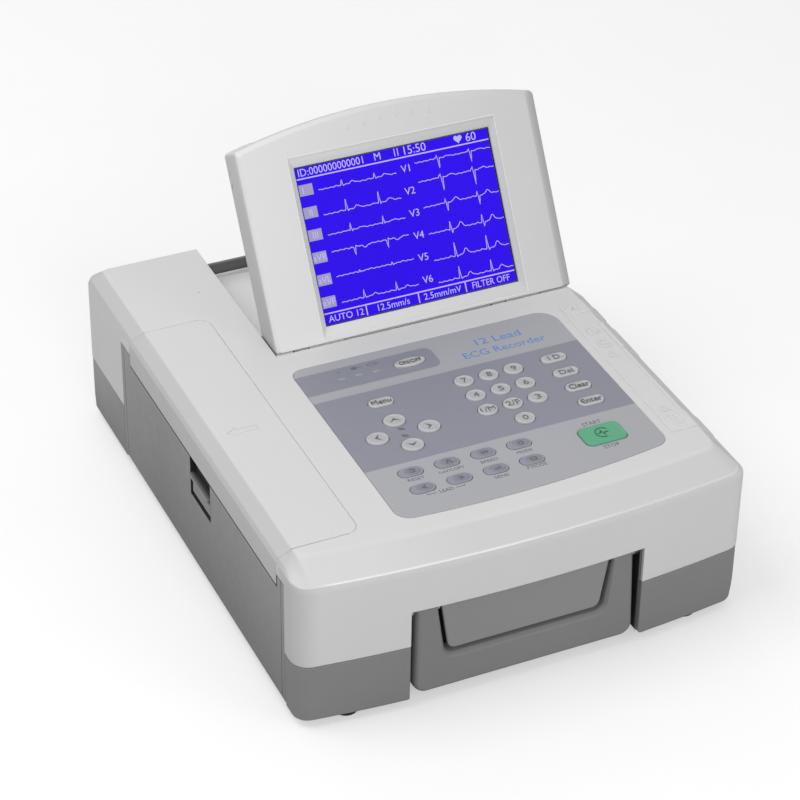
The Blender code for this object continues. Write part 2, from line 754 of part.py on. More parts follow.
def make_catch():
    """A plate with a finger ledge above its face, and a tongue behind the door."""
    foot = CATCH_SLOT_Z + CATCH_TRAVEL + 0.2
    profile = [
        (-125.6, foot), (-131.3, foot), (-132.0, foot + 0.8),
        (-132.2, 62.6), (-133.2, 64.0), (-132.9, 64.9),
        (-128.0, 66.2), (-127.2, 68.0), (-127.2, 77.6), (-125.6, 77.6),
    ]
    catch = prism("Y", profile, *grown(CATCH_Y, -0.4))
    piece("lid_catch", catch, "grey", origin=(-129.0, middle(CATCH_Y), 64.0))


# ------------------------------------------------------------------- printer
PLATEN_RADIUS = 5.6
# y, radius: front journal, chamfered roller, rear journal
PLATEN_STEPS = (
    (BAY_OUTER_Y[0] + 0.4, 2.5), (-128.0, 2.5),
    (-128.0, PLATEN_RADIUS - 0.3), (-127.7, PLATEN_RADIUS),
    (85.9, PLATEN_RADIUS), (86.2, PLATEN_RADIUS - 0.3),
    (86.2, 2.5), (96.2, 2.5),
)
MODULE = 0.8  # gear pitch diameter per tooth
GEAR_TEETH, PINION_TEETH = 20, 10
GEAR_Y = (91.6, 95.6)
TOOTH_ABOVE, TOOTH_BELOW = 0.62, 0.95  # tip and root from the pitch circle
ROOT_TURN, TIP_TURN = 0.62, 0.24  # tooth flanks, as shares of half the tooth pitch
MESH_ANGLE = math.radians(-41.0)  # direction from the platen to the motor
MOTOR_X = PLATEN_X + MODULE * (GEAR_TEETH + PINION_TEETH) / 2 * math.cos(MESH_ANGLE)
MOTOR_Z = PLATEN_Z + MODULE * (GEAR_TEETH + PINION_TEETH) / 2 * math.sin(MESH_ANGLE)
# y, radius: front boss, body, chamfered back
MOTOR_STEPS = ((96.6, 5.0), (97.6, 5.0), (97.6, 13.0), (124.0, 13.0), (125.0, 12.0))
HEAD_PROFILE = (
    (-124.6, 66.0), (-111.0, 66.0), (-111.0, 73.4),
    (-113.6, 75.6), (-122.6, 75.6), (-124.6, 73.6),
)
PAPER_WIDTH = 210.0
ROLL_Y = -21
ROLL_RADIUS, CORE_RADIUS = 20.0, 7.0


def gear(name, teeth, x, z, phase, finish):
    pitch_radius = MODULE * teeth / 2
    tip, root = pitch_radius + TOOTH_ABOVE, pitch_radius - TOOTH_BELOW
    half_tooth = math.pi / teeth
    flanks = ((-ROOT_TURN, root), (-TIP_TURN, tip), (TIP_TURN, tip), (ROOT_TURN, root))
    points = []
    for k in range(teeth):
        for turn, radius in flanks:
            angle = phase + 2 * half_tooth * k + turn * half_tooth
            points.append((x + radius * math.cos(angle), z + radius * math.sin(angle)))
    return piece(name, prism("Y", points, *GEAR_Y), finish, origin=(x, middle(GEAR_Y), z))


def make_platen():
    roller = turned("Y", PLATEN_X, PLATEN_Z, PLATEN_STEPS)
    piece("platen_roller", roller, "rubber", origin=(PLATEN_X, middle(BAY_Y), PLATEN_Z))


def make_gears():
    wheel = gear("platen_gear", GEAR_TEETH, PLATEN_X, PLATEN_Z, MESH_ANGLE, "white_plastic")
    cut(wheel, rod("Y", PLATEN_X, PLATEN_Z, 2.8, 80, 110, 24))
    # half a tooth out of step, so that the pinion meshes
    phase = MESH_ANGLE + math.pi + math.pi / PINION_TEETH
    pinion = gear("motor_pinion", PINION_TEETH, MOTOR_X, MOTOR_Z, phase, "brass")
    join(pinion, rod("Y", MOTOR_X, MOTOR_Z, 1.2, 92.5, 101.0, 12))


def make_motor():
    motor = piece("feed_motor", turned("Y", MOTOR_X, MOTOR_Z, MOTOR_STEPS), "steel")
    cut(motor, rod("Y", MOTOR_X, MOTOR_Z, 1.6, 90, 103, 12))


def make_print_head():
    head = prism("Y", HEAD_PROFILE, *grown(BAY_Y, -GAP))
    piece("thermal_print_head", head, "ceramic")


def make_paper_roll():
    ends = [(ROLL_Y - PAPER_WIDTH / 2, ROLL_RADIUS), (ROLL_Y + PAPER_WIDTH / 2, ROLL_RADIUS)]
    body = turned("Y", ROLL_X, ROLL_Z, ends, 32)
    roll = piece("paper_roll", body, "paper", origin=(ROLL_X, ROLL_Y, ROLL_Z))
    cut(roll, rod("Y", ROLL_X, ROLL_Z, CORE_RADIUS, *BAY_HOLE_Y, 24))


# --------------------------------------------- electronics, rear panel, feet
BOARD_TOP = 15.6
# blocks on the main board: x span, y span, height above the board
BOARD_BLOCKS = (
    ((-40, -16), (-30, -6), 2.4),
    ((0, 14), (-34, -20), 2.0),
    ((30, 58), (4, 18), 2.0),
    ((84, 112), (-44, -30), 9.0),
    ((-58, -50), (10, 32), 12.0),
)
INLET_X, INLET_Z = (-44.0, -14.0), (20.0, 42.0)  # supply's socket in the rear panel
VENT_START, VENT_PITCH, VENT_WIDTH, VENT_COUNT = 60.0, 8.0, 3.0, 6
FOOT_X = (("left", -102.0), ("right", 102.0))
FOOT_Y = (("front", -148.6), ("rear", 146.0))


def make_main_board():
    plate = box((-66.0, 118.0), (-50.0, 40.0), (14.0, BOARD_TOP))
    board = piece("main_board", plate, "circuit_board")
    for x_span, y_span, height in BOARD_BLOCKS:
        join(board, box(x_span, y_span, (15.0, BOARD_TOP + height)))


def make_power_supply():
    supply = piece("power_supply", box((-56.0, 34.0), (66.0, 150.0), (8.1, 44.0)), "steel")
    join(supply, box(INLET_X, (148.0, 165.3), INLET_Z))
    cut(supply, box(grown(INLET_X, -2.8), (157.0, 170.0), grown(INLET_Z, -3.2)))


def make_battery():
    pack = box((33.0, 109.0), (-129.0, -65.0), (8.4, 36.0))
    piece("battery_pack", pack, "battery")
    door_x, door_y = grown(BATTERY_WELL_X, -GAP), grown(BATTERY_WELL_Y, -GAP)
    door = piece("battery_door", box(door_x, door_y, (FOOT_HEIGHT + 0.2, 7.9)), "grey")
    cut(door, box((62.0, 80.0), (-72.0, -67.0), (2.0, 6.4)))


def make_rear_panel():
    plate = box(grown(WINDOW_X, -GAP), (161.0, 163.2), (11.9, 84.4))
    rear = piece("rear_panel", plate, "dark")
    cut(rear, box(grown(INLET_X, FIT), (150, 170), grown(INLET_Z, FIT)))
    for k in range(VENT_COUNT):
        x = VENT_START + VENT_PITCH * k
        cut(rear, box((x, x + VENT_WIDTH), (150, 170), (26.0, 54.0)))


def make_patient_socket():
    body = box((124.0, HALF_WIDTH + 1.2), SOCKET_Y, SOCKET_Z)
    socket = piece("patient_socket", body, "dark")
    d_shape = [(-77.0, 66.4), (-75.2, 57.6), (-48.8, 57.6), (-47.0, 66.4)]
    cut(socket, prism("X", d_shape, HALF_WIDTH - 4.0, 150))


def make_feet():
    steps = ((0, 7.0), (0.8, 8.0), (FOOT_HEIGHT - GAP, 8.4))
    for end, y in FOOT_Y:
        for side, x in FOOT_X:
            foot = turned("Z", x, y, steps, 20)
            piece(f"foot_{end}_{side}", foot, "rubber", origin=(x, y, 0))


def main():
    for obj in list(bpy.data.objects):
        bpy.data.objects.remove(obj, do_unlink=True)
    make_base()
    make_top()
    make_keypad()
    make_display()
    make_carry_handle()
    make_recess_liner()
    make_pivot_rod()
    make_lid()
    make_lid_pin()
    make_side_panel()
    make_catch()
    make_platen()
    make_gears()
    make_motor()
    make_print_head()
    make_paper_roll()
    make_main_board()
    make_power_supply()
    make_battery()
    make_rear_panel()
    make_patient_socket()
    make_feet()


main()
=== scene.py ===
"""Portable twelve-lead electrocardiograph, built round its CAD frame.

Sizes are millimetres in the row frame: +Z up, -Y the front (handle side), -X the left
(paper side). Meshes are written in metres. The display is drawn flat in its own plane,
with its hinge line on the X axis, and then tilted up behind the key panel.
"""

import math
import random

import bmesh
import bpy
import numpy as np
from mathutils import Matrix, Vector


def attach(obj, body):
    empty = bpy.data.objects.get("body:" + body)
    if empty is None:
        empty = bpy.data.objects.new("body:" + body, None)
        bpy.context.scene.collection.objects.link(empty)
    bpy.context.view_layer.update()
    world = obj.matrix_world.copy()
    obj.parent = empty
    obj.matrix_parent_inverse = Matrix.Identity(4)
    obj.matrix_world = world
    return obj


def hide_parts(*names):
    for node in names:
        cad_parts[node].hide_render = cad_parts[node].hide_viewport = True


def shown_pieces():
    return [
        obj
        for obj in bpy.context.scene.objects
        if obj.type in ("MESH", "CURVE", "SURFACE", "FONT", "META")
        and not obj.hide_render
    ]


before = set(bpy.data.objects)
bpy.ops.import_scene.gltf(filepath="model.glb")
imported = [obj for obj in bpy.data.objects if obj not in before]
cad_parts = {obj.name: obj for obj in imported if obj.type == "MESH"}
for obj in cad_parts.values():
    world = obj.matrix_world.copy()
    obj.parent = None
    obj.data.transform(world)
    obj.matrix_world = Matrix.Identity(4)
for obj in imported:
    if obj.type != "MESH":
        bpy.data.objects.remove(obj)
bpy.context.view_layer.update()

MM = 0.001

# Cabinet
HALF_W = 132.0
REAR_Y = 163.5
FRONT_Y = -165.3
FRONT_BOW = 1940.0  # the front face falls back by x * x / FRONT_BOW
FOOT_H = 5.0  # height of the underside
Z_PART = 41.4  # joint between base and top
Z_TOP = 99.3

# Display: its ends, front edge, thickness and the hinge seen from that front edge
TILT = math.radians(59.5)
DISP_X0, DISP_X1 = -62.1, 125.0
DISP_FRONT_Y = 36.5
DISP_T = 22.5
HINGE_B = 3.2  # hinge depth behind the display's face
HINGE_A = -HINGE_B * math.tan(TILT / 2)
HINGE_Y = DISP_FRONT_Y + HINGE_A * math.cos(TILT) + HINGE_B * math.sin(TILT)
HINGE_Z = Z_TOP + HINGE_A * math.sin(TILT) - HINGE_B * math.cos(TILT)
DISPLAY = Matrix.Translation((0, HINGE_Y, HINGE_Z)) @ Matrix.Rotation(TILT, 4, "X")
DISP_LOW = -HINGE_A  # lower edge of the display in its own plane
DISP_BACK = HINGE_B - DISP_T  # its rear face in its own plane
SCREEN = (-29.0, 93.0, 8.9, 100.4)  # x, x, then heights above the lower edge
SCREEN_FACE = HINGE_B - 4.5
PANEL_KNUCKLES = ((-42.0, -20.0), (82.0, 104.0))
CASE_KNUCKLES = ((-51.0, -42.4), (-19.6, -11.0), (73.0, 81.6), (104.4, 122.3))
PIN_BORE = 1.4  # radius of the holes for both hinge pins
PIN_RADIUS = 1.1

# Handle recess in the front face
REC_X0, REC_X1, REC_Z1 = -69.9, 66.3, 64.5
MID = (REC_X0 + REC_X1) / 2
PIVOT = (-154.5, 57.4)  # handle rod (y, z)

# Key panel
PANEL = (-62.4, 100.2, -133.0, 18.2)  # x, x, y, y
PANEL_BOW = 1236.0
PANEL_TOP = 99.45
KEY_TOP = 100.6
KEY_FOOT = 92.6

# Paper door, left side panel and the two walls that carry the paper parts
LID_Y0, LID_Y1, LID_X1 = -129.3, 87.5, -84.8
LID_SKIRT_Z = 79.1
LID_PIN = (-94.8, 94.9)  # x, z
SIDE_Y0, SIDE_Y1, SIDE_Z1 = -140.5, 103.7, 86.2
WALL_FRONT, WALL_REAR = (-132.4, -130.0), (88.2, 90.6)  # y, y
ROLL = (-105.5, 42.0)  # x, z
PLATEN = (-118.0, 82.0)  # x, z

# Gear pair between motor and platen
GEAR_MODULE = 0.8
GEAR_Y = (91.6, 95.6)
WHEEL_TEETH, PINION_TEETH = 20, 10
MOTOR_ANGLE = math.radians(-41.0)
GEAR_GAP = GEAR_MODULE * (WHEEL_TEETH + PINION_TEETH) / 2
MOTOR = (
    PLATEN[0] + GEAR_GAP * math.cos(MOTOR_ANGLE),
    PLATEN[1] + GEAR_GAP * math.sin(MOTOR_ANGLE),
)

# Screws
BASE_SCREWS = ((-66, -146), (118, -120), (-66, 128), (118, 128))  # x, y
REAR_SCREWS = ((-57.5, 17.0), (119.5, 17.0), (-57.5, 79.0), (119.5, 79.0))  # x, z
DISPLAY_SCREWS = ((-54.0, 12.0), (117.0, 12.0), (-54.0, 100.0), (117.0, 100.0))  # x, height


# --------------------------------------------------------------- shader helpers
def add(tree, kind, values=None, **settings):
    """A shader node; a value that is a socket is linked, any other is set."""
    made = tree.nodes.new("ShaderNode" + kind)
    for key, value in settings.items():
        setattr(made, key, value)
    for key, value in (values or {}).items():
        socket = made.inputs[key]
        if isinstance(value, bpy.types.NodeSocket):
            tree.links.new(value, socket)
        else:
            socket.default_value = value
    return made


def maths(tree, operation, first, second=0.0, clamp=False):
    made = add(tree, "Math", {0: first, 1: second}, operation=operation, use_clamp=clamp)
    return made.outputs[0]


def vector_maths(tree, operation, values):
    return add(tree, "VectorMath", values, operation=operation).outputs[0]


def multiply(tree, *shares):
    total = shares[0]
    for share in shares[1:]:
        total = maths(tree, "MULTIPLY", total, share)
    return total


def distance(tree, value, level):
    return maths(tree, "ABSOLUTE", maths(tree, "SUBTRACT", value, level))


def spread(tree, value, low, high, to_low=0.0, to_high=1.0):
    """Maps low..high to to_low..to_high, held at both ends."""
    values = {"Value": value, "From Min": low, "From Max": high}
    values.update({"To Min": to_low, "To Max": to_high})
    return add(tree, "MapRange", values).outputs[0]


def blend(tree, share, first, second):
    """A colour that goes from first to second as share goes from 0 to 1."""
    made = tree.nodes.new("ShaderNodeMix")
    made.data_type = "RGBA"
    for index, value in ((0, share), (6, first), (7, second)):
        if isinstance(value, bpy.types.NodeSocket):
            tree.links.new(value, made.inputs[index])
        else:
            made.inputs[index].default_value = (*value, 1.0)
    return made.outputs[2]


def noise(tree, coord, scale, detail, rough):
    values = {"Vector": coord, "Scale": scale, "Detail": detail, "Roughness": rough}
    return add(tree, "TexNoise", values).outputs["Fac"]


def axes(tree, coord):
    return add(tree, "SeparateXYZ", {0: coord}).outputs


def grey(level):
    return (level, level, level)


def rounded_mask(tree, coord, x, y, half_x, half_y, radius):
    """1 inside a rounded rectangle drawn on the plan, 0 outside."""
    soft = 0.12
    centre = vector_maths(tree, "SUBTRACT", {0: coord, 1: (x * MM, y * MM, 0)})
    plan = vector_maths(tree, "MULTIPLY", {0: centre, 1: (1, 1, 0)})
    size = vector_maths(tree, "ABSOLUTE", {0: plan})
    straight = ((half_x - radius) * MM, (half_y - radius) * MM, 0)
    over = vector_maths(tree, "SUBTRACT", {0: size, 1: straight})
    outside = vector_maths(tree, "MAXIMUM", {0: over, 1: (0, 0, 0)})
    length = add(tree, "VectorMath", {0: outside}, operation="LENGTH").outputs["Value"]
    return spread(tree, length, (radius + soft / 2) * MM, (radius - soft / 2) * MM)


# ------------------------------------------------ painted grounds and painted light and shade, places in metres
SHELL = (0.634, 0.634, 0.631)
FILM_LIGHT, FILM_DARK = (0.375, 0.377, 0.401), (0.245, 0.251, 0.299)
PAPER = (0.86, 0.84, 0.80)
# painted shade: a greyer left chamfer and a darker line at its crease
PAINTED_CHAMFER_SHADE = (0.495, 0.495, 0.493)
PAINTED_CREASE_SHADE = (0.42, 0.42, 0.418)


def panel_print(tree, coord):
    """A dark band across the key panel and a dark rounded strip above it."""
    band = rounded_mask(tree, coord, x=0, y=-50.95, half_x=400, half_y=34.45, radius=0.3)
    strip = rounded_mask(tree, coord, x=-80.0, y=0.7, half_x=99.4, half_y=10.0, radius=5.2)
    return blend(tree, maths(tree, "MAXIMUM", band, strip), FILM_LIGHT, FILM_DARK)


def chart_print(tree, coord):
    """Fine chart grid on the paper: 1 mm lines, heavier every 5 mm."""
    place = axes(tree, coord)
    total = None
    for axis in ("X", "Y"):
        for pitch, width, weight in ((1.0, 0.10, 0.35), (5.0, 0.22, 0.8)):
            value = multiply(tree, maths(tree, "ADD", place[axis], 1.0), 1000 / pitch)
            near = distance(tree, maths(tree, "FRACT", value), 0.5)
            share = spread(tree, near, 0.5 - width / pitch, 0.5 - width / pitch / 2)
            line = multiply(tree, share, weight)
            # the maxima are taken after all four lines are drawn
            total = [line] if total is None else total + [line]
    darkest = total[0]
    for line in total[1:]:
        darkest = maths(tree, "MAXIMUM", darkest, line)
    return blend(tree, darkest, PAPER, (0.80, 0.45, 0.42))


def recess_shade(tree, coord):
    """Painted shadow: the recess darkens behind its front face."""
    share = spread(tree, axes(tree, coord)["Y"], -0.1586, -0.1572)
    return blend(tree, share, grey(0.262), grey(0.030))


def catch_shade(tree, coord):
    """Painted shade: the catch is panel grey outside and dark towards the back of the pocket."""
    place = axes(tree, coord)
    depth = spread(tree, place["X"], -0.1332, -0.1293)
    above = spread(tree, place["Z"], 0.0650, 0.0668)
    return blend(tree, multiply(tree, depth, above), grey(0.255), grey(0.010))


def side_fade(tree, coord):
    """Painted shade and light: the side panel darkens towards its foot and pales towards the rear."""
    place = axes(tree, coord)
    ground = blend(tree, spread(tree, place["Z"], 0.012, 0.062), grey(0.205), grey(0.266))
    ground = blend(tree, spread(tree, place["Z"], 0.062, 0.086), ground, grey(0.292))
    rear = spread(tree, place["Y"], 0.045, 0.104, 0.0, 0.45)
    return blend(tree, rear, ground, grey(0.345))


def base_fade(tree, coord):
    """Painted light: the base pales round its rear left corner."""
    place = axes(tree, coord)
    share = multiply(
        tree,
        spread(tree, place["X"], -0.122, -0.129),
        spread(tree, place["Y"], 0.080, 0.145),
        spread(tree, place["Z"], 0.002, 0.036),
    )
    return blend(tree, share, grey(0.222), grey(0.335))


def side_crease(tree, coord):
    """Share of the fine dark line, painted shade, where the left wall turns in to its chamfer."""
    place = axes(tree, coord)
    line = spread(tree, distance(tree, place["Z"], 0.0932), 0.00050, 0.00015)
    return multiply(tree, line, spread(tree, place["X"], -0.1290, -0.1300), 0.55)


def side_chamfer(tree, coord):
    """Share of the slightly greyer tone, painted shade, on the chamfer above that line."""
    place = axes(tree, coord)
    return multiply(
        tree,
        spread(tree, place["X"], -0.1222, -0.1234),
        spread(tree, place["Z"], 0.0931, 0.0938),
        spread(tree, place["Y"], -0.150, -0.134, 0.15, 0.90),
    )


def left_edge_tones(tree, coord, ground):
    # painted shade on the left chamfer and its crease line
    ground = blend(tree, side_chamfer(tree, coord), ground, PAINTED_CHAMFER_SHADE)
    return blend(tree, side_crease(tree, coord), ground, PAINTED_CREASE_SHADE)


def display_tone(tree, coord):
    """Painted shade: the display greys slightly to its right; its left and right walls are darker."""
    place = axes(tree, coord)
    share = spread(tree, place["X"], -0.055, 0.118)
    ground = blend(tree, share, (0.712, 0.712, 0.709), (0.585, 0.585, 0.583))
    height = spread(tree, place["Z"], 0.090, 0.185)
    wall = blend(tree, height, (0.44, 0.44, 0.438), (0.57, 0.57, 0.568))
    ground = blend(tree, spread(tree, place["X"], -0.0611, -0.0618), ground, wall)
    right = spread(tree, place["X"], 0.1190, 0.1215)
    return blend(tree, right, ground, (0.50, 0.50, 0.498))


def door_tone(tree, coord):
    """The paper door with painted shade: a greyer skirt and the darker tones of its left edge."""
    place = axes(tree, coord)
    skirt = multiply(
        tree,
        spread(tree, place["X"], -0.1300, -0.1308),
        spread(tree, place["Z"], 0.0934, 0.0930),
    )
    ground = blend(tree, skirt, (0.632, 0.632, 0.629), (0.512, 0.512, 0.510))
    return left_edge_tones(tree, coord, ground)


def shell_tone(tree, coord):
    """The top shell with painted light and shade: a lighter sunk field, a greyer bevel and corner, and
    a painted highlight on the front crease.
    """
    place = axes(tree, coord)
    # painted highlight: a bright line along the front crease
    crease_highlight = multiply(
        tree,
        spread(tree, distance(tree, place["Z"], 0.0930), 0.00045, 0.00012),
        spread(tree, place["X"], -0.121, -0.112),
        spread(tree, place["Y"], -0.1480, -0.1520),
        spread(tree, place["X"], 0.060, -0.020, 0.15, 1.0),
    )
    # painted light: the sunk field behind the display is a little lighter
    sunk = multiply(
        tree,
        spread(tree, place["Z"], 0.0900, 0.0880),
        spread(tree, place["X"], -0.0619, -0.0617),
        spread(tree, place["Y"], 0.0353, 0.0356),
        spread(tree, place["X"], 0.1300, 0.1290),
        spread(tree, place["Y"], 0.1630, 0.1620),
    )
    ground = blend(tree, sunk, SHELL, (0.745, 0.745, 0.742))
    # painted shade: the front bevel and the front left corner are a little greyer
    bevel = multiply(
        tree,
        spread(tree, place["Y"], -0.124, -0.132),
        spread(tree, place["X"], -0.085, -0.030, 0.35, 1.0),
        spread(tree, place["Z"], 0.0930, 0.0936),
        spread(tree, place["Z"], 0.0990, 0.0984),
    )
    ground = blend(tree, bevel, ground, (0.575, 0.575, 0.573))
    corner = multiply(
        tree,
        spread(tree, place["X"], -0.119, -0.1316),
        spread(tree, place["Y"], -0.127, -0.139),
        spread(tree, place["Z"], 0.0936, 0.0926),
    )
    ground = blend(tree, corner, ground, (0.515, 0.515, 0.513))
    ground = left_edge_tones(tree, coord, ground)
    return blend(tree, crease_highlight, ground, (0.80, 0.80, 0.796))


# ------------------------------------------------------------------- finishes
def finish(
    name,
    colour,
    texture,
    worn_and_lit=None,
    metal=0.0,
    coat=0.0,
    specular=0.4,
    streak=None,
    glow=0.0,
    dim=1.0,
    paint=None,
):
    """A procedural surface: fine grain, broad mottling, uneven roughness and rubbed edges, which are
    worn and partly a painted highlight.

    texture is (roughness, grain strength, grain size in mm, mottling, edge wear and painted edge
    highlight).
    Glow is seen by the camera only; dim scales the base colour under it. paint, when given, makes the
    base colour, for several finishes with painted light and shade.
    """
    rough, grain, grain_mm, mottle, wear_and_sheen = texture
    mat = bpy.data.materials.new(name)
    mat.use_nodes = True
    tree = mat.node_tree
    tree.nodes.clear()
    out = tree.nodes.new("ShaderNodeOutputMaterial")
    shader = tree.nodes.new("ShaderNodeBsdfPrincipled")
    tree.links.new(shader.outputs[0], out.inputs[0])
    coord = tree.nodes.new("ShaderNodeTexCoord").outputs["Object"]
    stretched = coord
    if streak:
        stretched = add(tree, "Mapping", {"Vector": coord, "Scale": streak}).outputs[0]
    broad = noise(tree, coord, scale=11.0, detail=3.0, rough=0.5)
    middle = noise(tree, coord, scale=150.0, detail=4.0, rough=0.6)
    fine = noise(tree, stretched, scale=1.0 / (grain_mm * MM), detail=3.0, rough=0.55)
    if paint:
        base = paint(tree, coord)
    else:
        base = tree.nodes.new("ShaderNodeRGB").outputs[0]
        base.default_value = (*colour, 1.0)
    level = maths(
        tree,
        "ADD",
        spread(tree, broad, 0.3, 0.7, 1 - mottle, 1 + mottle),
        spread(tree, fine, 0.3, 0.7, -0.6 * mottle, 0.6 * mottle),
    )
    tinted = vector_maths(tree, "SCALE", {0: base, "Scale": level})
    # rubbed edges, worn and partly a painted highlight: where a rounded normal differs from the
    # surface's own
    soft = add(tree, "Bevel", {"Radius": 0.5 * MM}, samples=4).outputs[0]
    flat = tree.nodes.new("ShaderNodeNewGeometry").outputs["Normal"]
    same = add(tree, "VectorMath", {0: soft, 1: flat}, operation="DOT_PRODUCT")
    rim = spread(tree, same.outputs["Value"], 0.995, 0.90)
    patchy = spread(tree, middle, 0.42, 0.62, 0.25, 1.0)
    rub_and_sheen = maths(tree, "MULTIPLY", multiply(tree, rim, patchy), wear_and_sheen, clamp=True)
    rubbed_and_lit = worn_and_lit or tuple(min(0.9, part * 1.35 + 0.015) for part in colour)
    surface = blend(tree, rub_and_sheen, tinted, rubbed_and_lit)
    if dim < 1:
        surface = vector_maths(tree, "SCALE", {0: surface, "Scale": dim})
    tree.links.new(surface, shader.inputs["Base Color"])
    uneven = spread(tree, middle, 0.3, 0.7, rough - 0.05, rough + 0.05)
    uneven = maths(tree, "ADD", uneven, multiply(tree, rub_and_sheen, -0.12), clamp=True)
    tree.links.new(uneven, shader.inputs["Roughness"])
    height = maths(tree, "ADD", fine, multiply(tree, middle, 0.35))
    bump = add(tree, "Bump", {"Strength": grain, "Distance": 0.012 * MM, "Height": height})
    tree.links.new(bump.outputs[0], shader.inputs["Normal"])
    shader.inputs["Metallic"].default_value = metal
    shader.inputs["Specular IOR Level"].default_value = specular
    shader.inputs["Coat Weight"].default_value = coat
    shader.inputs["Coat Roughness"].default_value = 0.15
    if glow:
        seen = tree.nodes.new("ShaderNodeLightPath").outputs["Is Camera Ray"]
        tree.links.new(tinted, shader.inputs["Emission Color"])
        strength = spread(tree, seen, 0, 1, 0.0, glow)
        tree.links.new(strength, shader.inputs["Emission Strength"])
    mat.diffuse_color = (*colour, 1.0)
    return mat


PALE = (0.46, 0.30, 0.42, 0.012, 0.45)
KEY = (0.48, 0.2, 0.3, 0.02, 0.4)
INK = (0.5, 0.1, 0.3, 0.05, 0.0)
WIRE = (0.4, 0.1, 0.5, 0.06, 0.0)
LIT = dict(specular=0.0, glow=0.87, dim=0.25)
METAL = dict(metal=1.0)

